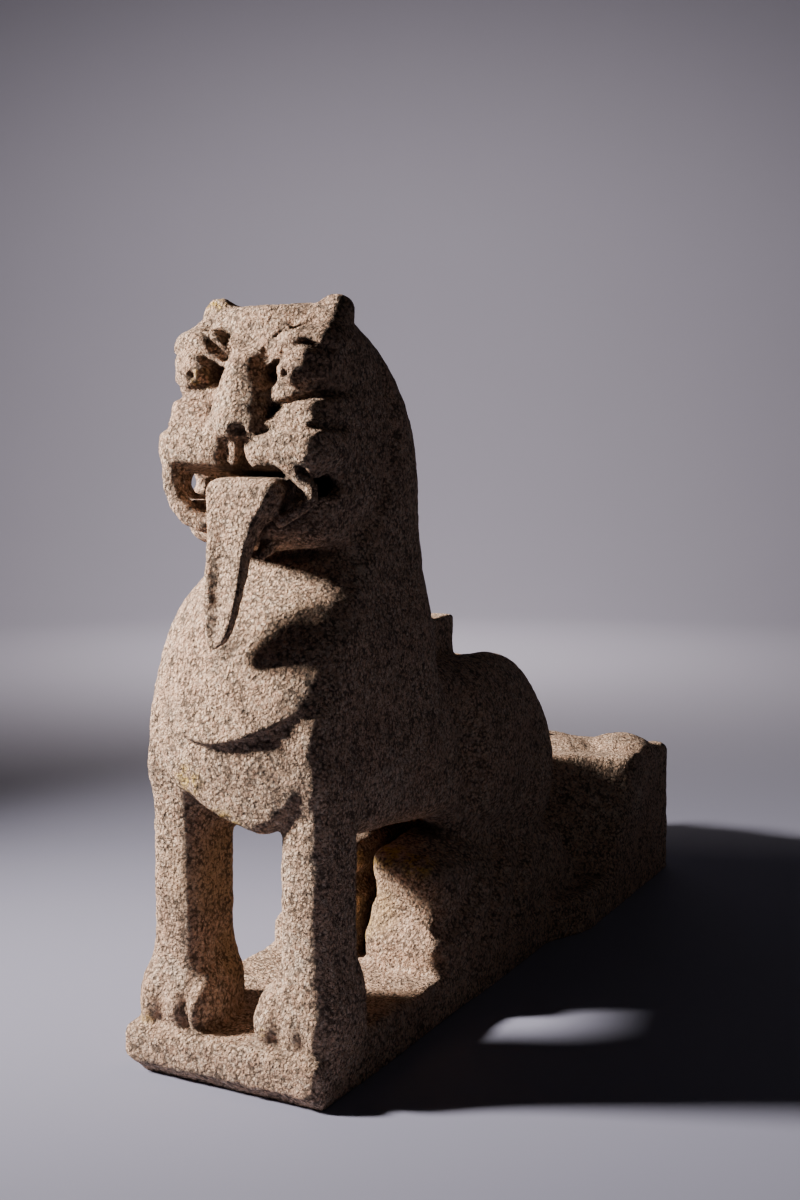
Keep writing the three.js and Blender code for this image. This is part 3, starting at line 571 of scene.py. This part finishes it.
# Unworked lumps on top of the block, as shares of its length back and half its width across.
LUMPS = [
    {"back": 0.74, "across": 0.66, "height": 8, "reach": 44},
    {"back": 0.60, "across": 0.15, "height": 3, "reach": 40},
    {"back": 0.70, "across": -0.5, "height": 5, "reach": 60},
]


def lumps(x, y, z):
    everything = np.inf
    for lump in LUMPS:
        centre = [
            lump["across"] * BLOCK_WIDTH / 2,
            PLINTH_LENGTH - BLOCK_LENGTH * (1 - lump["back"]),
            BLOCK_HEIGHT - 12,
        ]
        radii = [lump["reach"], lump["reach"], lump["height"] + 12]
        everything = np.minimum(everything, ovoid(x, y, z, centre, radii))
    return everything


def broken_corner(x, y, z):
    """A bottom corner of the plinth that is broken off, at the front on the lion's right."""
    corner = -PLINTH_FRONT_WIDTH / 2 - PLINTH_RIGHT_OVERHANG
    return ovoid(x, y, z, [corner - 6, 4, -2], BROKEN_CORNER)


def heel_hollows(x, y, z):
    """The hollows worked into the stone between the haunch, the heel and the raw block."""
    across = np.abs(x)
    cave = ovoid(across, y, z, [104, 690, 152], [42, 46, 24])
    cleft = bar(across, y, z, [[116, 668, 140], [128, 682, 104], [140, 700, 66]], 15, 11)
    return join(cave, cleft, 10)


def stone(x, y, z):
    """The whole stone, in real millimetres, with y measured back from the plinth's front edge."""
    lx = x / SCALE
    ly = y / SCALE
    lz = (z - PLINTH_THICKNESS) / SCALE + DRAWN_FEET
    slab = cut(plinth(x, y, z), broken_corner(x, y, z), 4)
    ground = join(np.minimum(slab, block(x, y, z)), lumps(x, y, z), 20)
    figure = lion(lx, ly, lz) * SCALE
    whole = cut(join(ground, figure, 7), heel_hollows(lx, ly, lz) * SCALE, 8)
    return np.maximum(whole, -z)


# The surface: followed on a grid near the stone, then drawn onto the field's zero level.


def in_parts(field, points):
    """The field at many points, a part of them at a time, so that each part stays in cache."""
    values = np.empty(len(points))
    for start in range(0, len(points), PART_SIZE):
        x, y, z = points[start:start + PART_SIZE].T
        values[start:start + PART_SIZE] = field(x, y, z)
    return values


def steps_between(low, high, step):
    return np.linspace(low, high, max(int(round((high - low) / step)), 1) + 1)


def grid_lines():
    half_width = BLOCK_WIDTH / 2 + SIDE_MARGIN
    block_front = PLINTH_LENGTH - BLOCK_LENGTH
    across = steps_between(-half_width, half_width, ACROSS_STEP)
    back = np.concatenate([
        steps_between(-FRONT_MARGIN, HEAD_BACK, HEAD_STEP)[:-1],
        steps_between(HEAD_BACK, block_front, BODY_STEP)[:-1],
        steps_between(block_front, PLINTH_LENGTH + BACK_MARGIN, BLOCK_STEP),
    ])
    up = np.concatenate([
        steps_between(-BOTTOM_MARGIN, HEAD_BOTTOM, BODY_STEP)[:-1],
        steps_between(HEAD_BOTTOM, OVERALL_HEIGHT + TOP_MARGIN, HEAD_STEP),
    ])
    return across, back, up


def sampled(field, lines):
    """The field on the grid: exact near the surface, and from a coarser grid away from it."""
    coarse = [steps_between(line[0], line[-1], COARSE_STEP) for line in lines]
    nodes = np.stack(np.meshgrid(*coarse, indexing="ij"), -1).reshape(-1, 3)
    rough = in_parts(field, nodes).reshape([len(line) for line in coarse])
    nearest = [np.abs(line[:, None] - rows[None]).argmin(1) for line, rows in zip(lines, coarse)]
    values = rough[np.ix_(*nearest)]
    near = np.argwhere(np.abs(values) < REACH)
    points = np.stack([lines[n][near[:, n]] for n in range(3)], -1)
    values[tuple(near.T)] = in_parts(field, points)
    return values


def surface_net(values, lines):
    """Corners and four-sided faces of the surface where the values cross zero."""
    inside = values < 0
    shape = np.array(values.shape)
    offsets = [(i, j, k) for i in (0, 1) for j in (0, 1) for k in (0, 1)]

    def corner(array, offset):
        return array[tuple(slice(o, n - 1 + o) for o, n in zip(offset, shape))]

    count = sum(corner(inside, offset).astype(np.int8) for offset in offsets)
    cells = np.argwhere((count > 0) & (count < 8))
    number = np.full(shape - 1, -1)
    number[tuple(cells.T)] = np.arange(len(cells))
    total = np.zeros((len(cells), 3))
    crossings = np.zeros(len(cells))
    for axis in range(3):
        for start in [offset for offset in offsets if offset[axis] == 0]:
            end = tuple(o + (n == axis) for n, o in enumerate(start))
            a = values[tuple((cells + start).T)]
            b = values[tuple((cells + end).T)]
            crossed = (a < 0) != (b < 0)
            share = np.where(crossed, a / np.where(crossed, a - b, 1), 0)
            for n in range(3):
                first = lines[n][cells[:, n] + start[n]]
                last = lines[n][cells[:, n] + end[n]]
                total[:, n] += np.where(crossed, first + share * (last - first), 0)
            crossings += crossed
    points = total / crossings[:, None]

    faces = []
    for axis in range(3):
        before = [slice(None)] * 3
        after = [slice(None)] * 3
        before[axis] = slice(0, -1)
        after[axis] = slice(1, None)
        changed = inside[tuple(before)] != inside[tuple(after)]
        edges = np.argwhere(changed)
        u, v = (axis + 1) % 3, (axis + 2) % 3
        edges = edges[(edges[:, u] > 0) & (edges[:, v] > 0)]
        edges = edges[(edges[:, u] < shape[u] - 1) & (edges[:, v] < shape[v] - 1)]
        ring = []
        for du, dv in ((-1, -1), (0, -1), (0, 0), (-1, 0)):
            cell = edges.copy()
            cell[:, u] += du
            cell[:, v] += dv
            ring.append(number[tuple(cell.T)])
        quads = np.stack(ring, -1)
        outward = inside[tuple(edges.T)]
        faces.append(np.where(outward[:, None], quads, quads[:, ::-1]))
    return points, np.concatenate(faces)


def slopes_of(field, points, step=0.5):
    """The field at the points, and how fast it grows along x, y and z there."""
    base = in_parts(field, points)
    slopes = np.empty_like(points)
    for n in range(3):
        moved = points.copy()
        moved[:, n] += step
        slopes[:, n] = (in_parts(field, moved) - base) / step
    return base, slopes


def drawn_onto(field, points, rounds=2, limit=2.0):
    """The points moved onto the field's zero level, and the directions out of the stone there."""
    for _ in range(rounds):
        base, slopes = slopes_of(field, points)
        size = np.maximum((slopes ** 2).sum(1), 0.05)
        move = np.clip(base / np.sqrt(size), -limit, limit) / np.sqrt(size)
        points = points - move[:, None] * slopes
    _, slopes = slopes_of(field, points)
    outward = slopes / np.maximum(np.linalg.norm(slopes, axis=1), 1e-6)[:, None]
    return points, outward


# Relief of the coarse granite, as heights in millimetres at places in millimetres.
RELIEF = [
    {"size": 46.0, "height": 0.9},
    {"size": 17.0, "height": 1.0},
    {"size": 8.5, "height": 0.9},
]
# How far the surface is sunk under its relief, so that the stone keeps its size.
RELIEF_SINK = 0.6
# How far out of the stone a place is compared with open air, to find the hollows.
HOLLOW_REACH = 14


def relief_at(place):
    height = 0.0
    for wave in RELIEF:
        height += wave["height"] * noise.noise(place / wave["size"])
    return height


def with_flat_underside(faces, flat):
    """The faces with those that lie on the floor made into one flat face."""
    lying = [face for face in faces if all(flat[corner] for corner in face)]
    after = {}
    for face in lying:
        for corner, following in zip(face, face[1:] + face[:1]):
            after.setdefault(corner, set()).add(following)
    outline = {}
    for corner, others in after.items():
        for other in others:
            if corner not in after.get(other, ()):
                outline[corner] = other
    first = min(outline)
    ring = [first]
    while outline[ring[-1]] != first:
        ring.append(outline[ring[-1]])
    return [face for face in faces if not all(flat[corner] for corner in face)] + [ring]


def granite_surface():
    """The stone's corners and faces, and how raised and how hollow each corner lies."""
    lines = grid_lines()
    points, faces = surface_net(sampled(stone, lines), lines)
    points, outward = drawn_onto(stone, points)
    underside = (outward[:, 2] < -0.5) & (points[:, 2] < 1)
    height = np.array([relief_at(Vector(point)) for point in points])
    # How hollow each corner lies; the granite darkens the hollows with it as painted shade.
    hollow = 1 - in_parts(stone, points + HOLLOW_REACH * outward) / HOLLOW_REACH
    points = points + outward * (height - RELIEF_SINK)[:, None]
    points[:, 2] = np.where(underside, 0, np.maximum(points[:, 2], 0))
    faces = with_flat_underside(faces.tolist(), points[:, 2] == 0)
    return points, faces, {"relief": 0.5 + 0.25 * height, "hollow": hollow}


def stone_object(name, points, faces, shares):
    low, high = np.array(CAD_BOX[0]), np.array(CAD_BOX[1])
    placed = np.clip(points / 1000 - [0, ORIGIN_BACK, 0], low, high)
    mesh = bpy.data.meshes.new(name)
    mesh.from_pydata(placed.tolist(), [], faces)
    mesh.validate()
    mesh.polygons.foreach_set("use_smooth", [True] * len(mesh.polygons))
    for share, values in shares.items():
        mesh.attributes.new(share, "FLOAT", "POINT").data.foreach_set("value", values.tolist())
    mesh.update()
    piece = bpy.data.objects.new(name, mesh)
    bpy.context.scene.collection.objects.link(piece)
    return piece


# Nodes of the materials, with sizes in metres.


def add_node(tree, kind, inputs, **settings):
    """A node whose inputs, by name or number, are another node's outputs or fixed values."""
    made = tree.nodes.new(kind)
    for name, value in settings.items():
        setattr(made, name, value)
    for key, value in inputs.items():
        socket = made.inputs[key]
        if hasattr(value, "is_output"):
            tree.links.new(value, socket)
        elif socket.type == "RGBA":
            socket.default_value = (*value, 1)
        else:
            socket.default_value = value
    return made


def bands(tree, value, stops):
    """A colour for each range of the value, from its stop to the next one."""
    made = add_node(tree, "ShaderNodeValToRGB", {0: value})
    ramp = made.color_ramp
    ramp.interpolation = "CONSTANT"
    while len(ramp.elements) < len(stops):
        ramp.elements.new(0.5)
    for element, (place, colour) in zip(ramp.elements, stops):
        element.position = place
        element.color = (*colour, 1)
    return made.outputs["Color"]


def remap(tree, value, low, high, to_low=0.0, to_high=1.0):
    """The value taken smoothly from low to high into another range; low may be the larger one."""
    inputs = {0: value, 1: low, 2: high, 3: to_low, 4: to_high}
    made = add_node(tree, "ShaderNodeMapRange", inputs, interpolation_type="SMOOTHSTEP")
    return made.outputs["Result"]


def mixed(tree, share, a, b):
    made = add_node(tree, "ShaderNodeMix", {0: share, 6: a, 7: b}, data_type="RGBA")
    return made.outputs[2]


def math_node(tree, operation, a, b):
    return add_node(tree, "ShaderNodeMath", {0: a, 1: b}, operation=operation).outputs[0]


def noise_at(tree, place, size, detail=2.0, roughness=0.5):
    """Noise whose lumps are about the given size."""
    inputs = {"Vector": place, "Scale": 1 / size, "Detail": detail, "Roughness": roughness}
    return add_node(tree, "ShaderNodeTexNoise", inputs).outputs["Fac"]


def cells_at(tree, place, size):
    return add_node(tree, "ShaderNodeTexVoronoi", {"Vector": place, "Scale": 1 / size})


def channels(tree, colour):
    return add_node(tree, "ShaderNodeSeparateColor", {0: colour}).outputs


def kept_at_corners(tree, name):
    return add_node(tree, "ShaderNodeAttribute", {}, attribute_name=name).outputs["Fac"]


def near_place(tree, place, centre, reach):
    """One at a place on the stone, in millimetres, fading to nothing at the given reach."""
    middle = (centre[0] / 1000, centre[1] / 1000 - ORIGIN_BACK, centre[2] / 1000)
    away = add_node(tree, "ShaderNodeVectorMath", {0: place, 1: middle}, operation="DISTANCE")
    return remap(tree, away.outputs["Value"], reach / 1000, 0.35 * reach / 1000)


# The granite: crystals of several minerals, pits, stains, wear and lichen, with painted shade in
# its pits, gaps and hollows.

CREAM = (0.88, 0.61, 0.43)
PINKISH = (0.64, 0.38, 0.26)
GREY = (0.37, 0.28, 0.22)
DARK = (0.07, 0.05, 0.04)
TAN = (0.55, 0.36, 0.24)
LICHEN = (0.64, 0.42, 0.05)
STAIN = (0.56, 0.37, 0.19)
PALE = (0.95, 0.76, 0.60)
# The colour of the painted shade in the pits, the gaps between crystals, the low places and the
# hollows.
PAINTED_SHADE = (0.075, 0.052, 0.038)

CRYSTAL_SIZE = 0.0038
COARSE_MINERALS = [
    (0.0, GREY), (0.10, TAN), (0.30, CREAM), (0.56, PINKISH), (0.70, PALE), (0.88, CREAM),
]
FINE_CRYSTAL_SIZE = 0.0020
FINE_MINERALS = [
    (0.0, DARK), (0.12, TAN), (0.34, CREAM), (0.60, GREY), (0.74, PINKISH), (0.88, PALE),
]
# The fine crystals' share of the colour, and how much of it is evened out to tan.
FINE_SHARE = 0.5
EVENED_SHARE = 0.2
# The crystals' edges are bent by a noise of this scale, by up to this far.
BEND_SCALE = 170.0
BEND = 0.004

# Broad clouds over the crystals: the noise, where it starts and is full, and how strongly.
CLOUDS = [
    {"noise": (0.11, 4.0, 0.6), "start": 0.42, "full": 0.66, "strength": 0.35, "tint": PINKISH},
    {"noise": (0.045, 5.0, 0.65), "start": 0.52, "full": 0.72, "strength": 0.5, "tint": GREY},
]

# Lichen, stain and wear: a place on the stone in millimetres, and how far it reaches.
YELLOW_LICHEN = [
    ([34, 290, 186], 38), ([74, 292, 172], 30), ([10, 300, 170], 34), ([8, 276, 86], 20),
    ([-69, 108, 796], 22), ([44, 4, 66], 10), ([-2, 24, 262], 34), ([-40, 20, 312], 28),
    ([-46, 40, 712], 16), ([-98, 20, 60], 18),
]
ORANGE_STAIN = [
    ([-47, 84, 300], 66), ([-46, 86, 200], 80), ([-44, 96, 110], 50), ([-10, 150, 246], 70),
    ([20, 290, 110], 50),
]
PALE_WEAR = [
    ([66, 18, 150], 40), ([60, 16, 220], 26), ([-70, 24, 104], 36), ([104, 110, 520], 44),
    ([104, 160, 300], 54), ([118, 640, 240], 34), ([140, 760, 150], 60), ([148, 840, 130], 40),
    ([30, -4, 60], 34),
]
PATCHES = [
    {"spots": ORANGE_STAIN, "tint": STAIN, "start": 0.25, "strength": 0.75},
    {"spots": PALE_WEAR, "tint": PALE, "start": 0.45, "strength": 0.6},
    {"spots": YELLOW_LICHEN, "tint": LICHEN, "start": 0.42, "strength": 0.8},
]
# A patch has a ragged edge: the noise, and how quickly the patch fills from its start.
RAGGED_NOISE = (0.012, 5.0, 0.7)
RAGGED_SPAN = 0.16

# Size, detail and roughness of the grain, of the pits and of the patches with deeper gaps.
GRAIN_NOISE = (0.0030, 3.0, 0.7)
PIT_NOISE = (0.0054, 3.0, 0.6)
GAP_NOISE = (0.014, 3.0, 0.6)
# How strongly painted shade darkens the pits, the low grain, the low places of the relief and the
# hollows.
PIT_SHADE = 0.8
GRAIN_SHADE = 0.8
LOW_RELIEF_SHADE = 0.4
HOLLOW_SHADE = 0.75
BUMP_HEIGHT = 0.0062
DULL_SHINE = 0.3


def bent(tree, place):
    """The place moved a little by noise, so that the crystals' edges aren't straight."""
    noise_inputs = {"Vector": place, "Scale": BEND_SCALE, "Detail": 1.0}
    wobble = add_node(tree, "ShaderNodeTexNoise", noise_inputs).outputs["Color"]
    inputs = {0: wobble, 1: (BEND, BEND, BEND), 2: place}
    moved = add_node(tree, "ShaderNodeVectorMath", inputs, operation="MULTIPLY_ADD")
    return moved.outputs["Vector"]


def mineral_colour(tree, place, kind, fine_kind):
    """The two sizes of crystals mixed, evened out a little, with the clouds over them."""
    coarse_colour = bands(tree, kind, COARSE_MINERALS)
    fine_colour = bands(tree, fine_kind, FINE_MINERALS)
    colour = mixed(tree, FINE_SHARE, coarse_colour, fine_colour)
    colour = mixed(tree, EVENED_SHARE, colour, TAN)
    for cloud in CLOUDS:
        shape = noise_at(tree, place, *cloud["noise"])
        share = remap(tree, shape, cloud["start"], cloud["full"], 0.0, cloud["strength"])
        colour = mixed(tree, share, colour, cloud["tint"])
    return colour


def patched(tree, place, colour):
    """The colour with the stains, the wear and the lichen over it."""
    ragged = noise_at(tree, place, *RAGGED_NOISE)
    for patch in PATCHES:
        cover = 0.0
        for centre, reach in patch["spots"]:
            cover = math_node(tree, "MAXIMUM", near_place(tree, place, centre, reach), cover)
        edge = remap(tree, ragged, patch["start"], patch["start"] + RAGGED_SPAN)
        covered = math_node(tree, "MULTIPLY", cover, edge)
        share = math_node(tree, "MULTIPLY", covered, patch["strength"])
        colour = mixed(tree, share, colour, patch["tint"])
    return colour


def granite_material():
    material = bpy.data.materials.new("granite")
    material.use_nodes = True
    tree = material.node_tree
    tree.nodes.clear()
    place = add_node(tree, "ShaderNodeTexCoord", {}).outputs["Object"]
    bent_place = bent(tree, place)
    crystals = cells_at(tree, bent_place, CRYSTAL_SIZE).outputs
    kind, _, random_height = channels(tree, crystals["Color"])
    fine_crystals = cells_at(tree, bent_place, FINE_CRYSTAL_SIZE).outputs
    fine_kind = channels(tree, fine_crystals["Color"])[1]
    colour = patched(tree, place, mineral_colour(tree, place, kind, fine_kind))

    # Painted shade darkens the pits, the gaps between crystals, the low grain, the low places of
    # the relief and the hollows, where the bumps cast no shade of their own.
    grain = noise_at(tree, place, *GRAIN_NOISE)
    pit_shape = noise_at(tree, bent_place, *PIT_NOISE)
    gap_shape = remap(tree, crystals["Distance"], 0.36, 0.72)
    gap_strength = remap(tree, noise_at(tree, place, *GAP_NOISE), 0.36, 0.58, 0.1, 0.85)
    for painted_shade in (
        math_node(tree, "MULTIPLY", remap(tree, pit_shape, 0.46, 0.33), PIT_SHADE),
        math_node(tree, "MULTIPLY", gap_shape, gap_strength),
        remap(tree, grain, 0.47, 0.34, 0.0, GRAIN_SHADE),
        remap(tree, kept_at_corners(tree, "relief"), 0.45, 0.1, 0.0, LOW_RELIEF_SHADE),
        remap(tree, kept_at_corners(tree, "hollow"), 0.35, 1.0, 0.0, HOLLOW_SHADE),
    ):
        colour = mixed(tree, painted_shade, colour, PAINTED_SHADE)

    # Each crystal stands at a height of its own and is raised in the middle.
    rough = math_node(tree, "ADD", grain, math_node(tree, "MULTIPLY", pit_shape, 0.8))
    crystal_height = math_node(
        tree, "ADD", math_node(tree, "MULTIPLY", crystals["Distance"], -0.45),
        math_node(tree, "MULTIPLY", random_height, 0.5),
    )
    height = math_node(tree, "ADD", rough, crystal_height)
    bump_inputs = {"Height": height, "Strength": 1.0, "Distance": BUMP_HEIGHT}
    surface = add_node(tree, "ShaderNodeBsdfPrincipled", {
        "Base Color": colour,
        "Roughness": remap(tree, grain, 0.3, 0.7, 0.97, 0.82),
        "Normal": add_node(tree, "ShaderNodeBump", bump_inputs).outputs["Normal"],
        "Specular IOR Level": DULL_SHINE,
    })
    add_node(tree, "ShaderNodeOutputMaterial", {"Surface": surface.outputs[0]})
    return material


FLOOR_COLOUR = (0.21, 0.215, 0.29)
FLOOR_DARKER = 0.97
FLOOR_MOTTLE = 0.4
FLOOR_ROUGHNESS = 0.8


def floor_material():
    material = bpy.data.materials.new("floor")
    material.use_nodes = True
    tree = material.node_tree
    surface = tree.nodes["Principled BSDF"]
    place = add_node(tree, "ShaderNodeTexCoord", {}).outputs["Object"]
    mottle = noise_at(tree, place, FLOOR_MOTTLE, 3.0)
    darker = tuple(FLOOR_DARKER * value for value in FLOOR_COLOUR)
    tree.links.new(mixed(tree, mottle, FLOOR_COLOUR, darker), surface.inputs["Base Color"])
    surface.inputs["Roughness"].default_value = FLOOR_ROUGHNESS
    surface.inputs["Specular IOR Level"].default_value = DULL_SHINE
    return material


# The room, in metres: a pale floor that curves up all round, the lights and the camera.

FLOOR_RADIUS = 3.6
FLOOR_MIDDLE_RADIUS = 0.001
COVE_RADIUS = 1.4
COVE_STEPS = 16
WALL_HEIGHT = 4.2
FLOOR_SIDES = 96


def floor_object():
    """A profile of radius and height, turned about the middle, and a small face that closes it."""
    profile = [(FLOOR_MIDDLE_RADIUS, 0.0), (FLOOR_RADIUS / 2, 0.0), (FLOOR_RADIUS, 0.0)]
    for i in range(1, COVE_STEPS + 1):
        turn = math.pi / 2 * i / COVE_STEPS
        profile.append((
            FLOOR_RADIUS + COVE_RADIUS * math.sin(turn),
            COVE_RADIUS * (1 - math.cos(turn)),
        ))
    profile.append((FLOOR_RADIUS + COVE_RADIUS, WALL_HEIGHT))
    points = []
    for radius, height in profile:
        for i in range(FLOOR_SIDES):
            turn = 2 * math.pi * i / FLOOR_SIDES
            points.append((radius * math.cos(turn), radius * math.sin(turn), height))
    faces = []
    for ring in range(len(profile) - 1):
        for i in range(FLOOR_SIDES):
            after = (i + 1) % FLOOR_SIDES
            start, end = ring * FLOOR_SIDES, (ring + 1) * FLOOR_SIDES
            faces.append((start + i, end + i, end + after, start + after))
    faces.append(tuple(range(FLOOR_SIDES))[::-1])
    mesh = bpy.data.meshes.new("floor")
    mesh.from_pydata(points, [], faces)
    mesh.polygons.foreach_set("use_smooth", [True] * len(mesh.polygons))
    floor = bpy.data.objects.new("floor", mesh)
    bpy.context.scene.collection.objects.link(floor)
    floor.data.materials.append(floor_material())
    return floor


LIGHTS = [
    {
        "name": "key", "place": (-1.81, -1.33, 1.44), "aim": (0, -0.1, 0.35),
        "size": 0.34, "power": 38, "colour": (1.0, 0.92, 0.84), "spread": 60,
    },
    {
        "name": "fill", "place": (1.9, -0.3, 1.1), "aim": (0, 0.45, 0.15),
        "size": 1.6, "power": 0.45, "colour": (1.0, 0.90, 0.82), "spread": 110,
    },
    {
        "name": "top", "place": (0.3, 1.1, 3.6), "aim": (0, 0, 0.35),
        "size": 2.6, "power": 0.3, "colour": (0.98, 0.97, 1.0), "spread": 180,
    },
    {
        "name": "wall", "place": (-1.2, 2.0, 1.8), "aim": (-2.0, 4.2, -0.6),
        "size": 1.4, "power": 135, "colour": (1.0, 0.88, 0.76), "spread": 180,
    },
]
WORLD_COLOUR = (0.80, 0.80, 0.86)
WORLD_STRENGTH = 0.003


def area_light(name, place, aim, size, power, colour, spread):
    """A round lamp at a place, turned towards its aim, that shines in a cone of this spread."""
    light = bpy.data.lights.new(name, "AREA")
    light.shape = "DISK"
    light.size = size
    light.energy = power
    light.spread = math.radians(spread)
    light.color = colour
    lamp = bpy.data.objects.new(name, light)
    bpy.context.scene.collection.objects.link(lamp)
    lamp.location = place
    lamp.rotation_mode = "QUATERNION"
    lamp.rotation_quaternion = (Vector(place) - Vector(aim)).to_track_quat("Z", "Y")
    lamp.visible_camera = False


def lights():
    for light in LIGHTS:
        area_light(**light)
    world = bpy.data.worlds.new("room")
    world.use_nodes = True
    background = world.node_tree.nodes["Background"]
    background.inputs["Color"].default_value = (*WORLD_COLOUR, 1)
    background.inputs["Strength"].default_value = WORLD_STRENGTH
    bpy.context.scene.world = world


# The camera of the photograph, found from the plinth's corners: its place as measured from the
# plinth's front edge, and its angles in degrees.
CAMERA_PLACE = (0.8366, -1.2151, 0.6503)
CAMERA_TURN = 27.56
CAMERA_DIP = 2.7
CAMERA_LENS = 45
CAMERA_SENSOR = 36
CAMERA_SHIFT = -0.0744


def camera():
    data = bpy.data.cameras.new("camera")
    data.lens = CAMERA_LENS
    data.sensor_width = CAMERA_SENSOR
    data.shift_y = CAMERA_SHIFT
    eye = bpy.data.objects.new("camera", data)
    bpy.context.scene.collection.objects.link(eye)
    eye.location = (CAMERA_PLACE[0], CAMERA_PLACE[1] - ORIGIN_BACK, CAMERA_PLACE[2])
    eye.rotation_euler = (math.radians(90 - CAMERA_DIP), 0, math.radians(CAMERA_TURN))
    bpy.context.scene.camera = eye


camera()
lights()
floor_object()
carved = stone_object("granite_lion", *granite_surface())
carved.data.materials.append(granite_material())
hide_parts("lion")
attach(carved, "root")
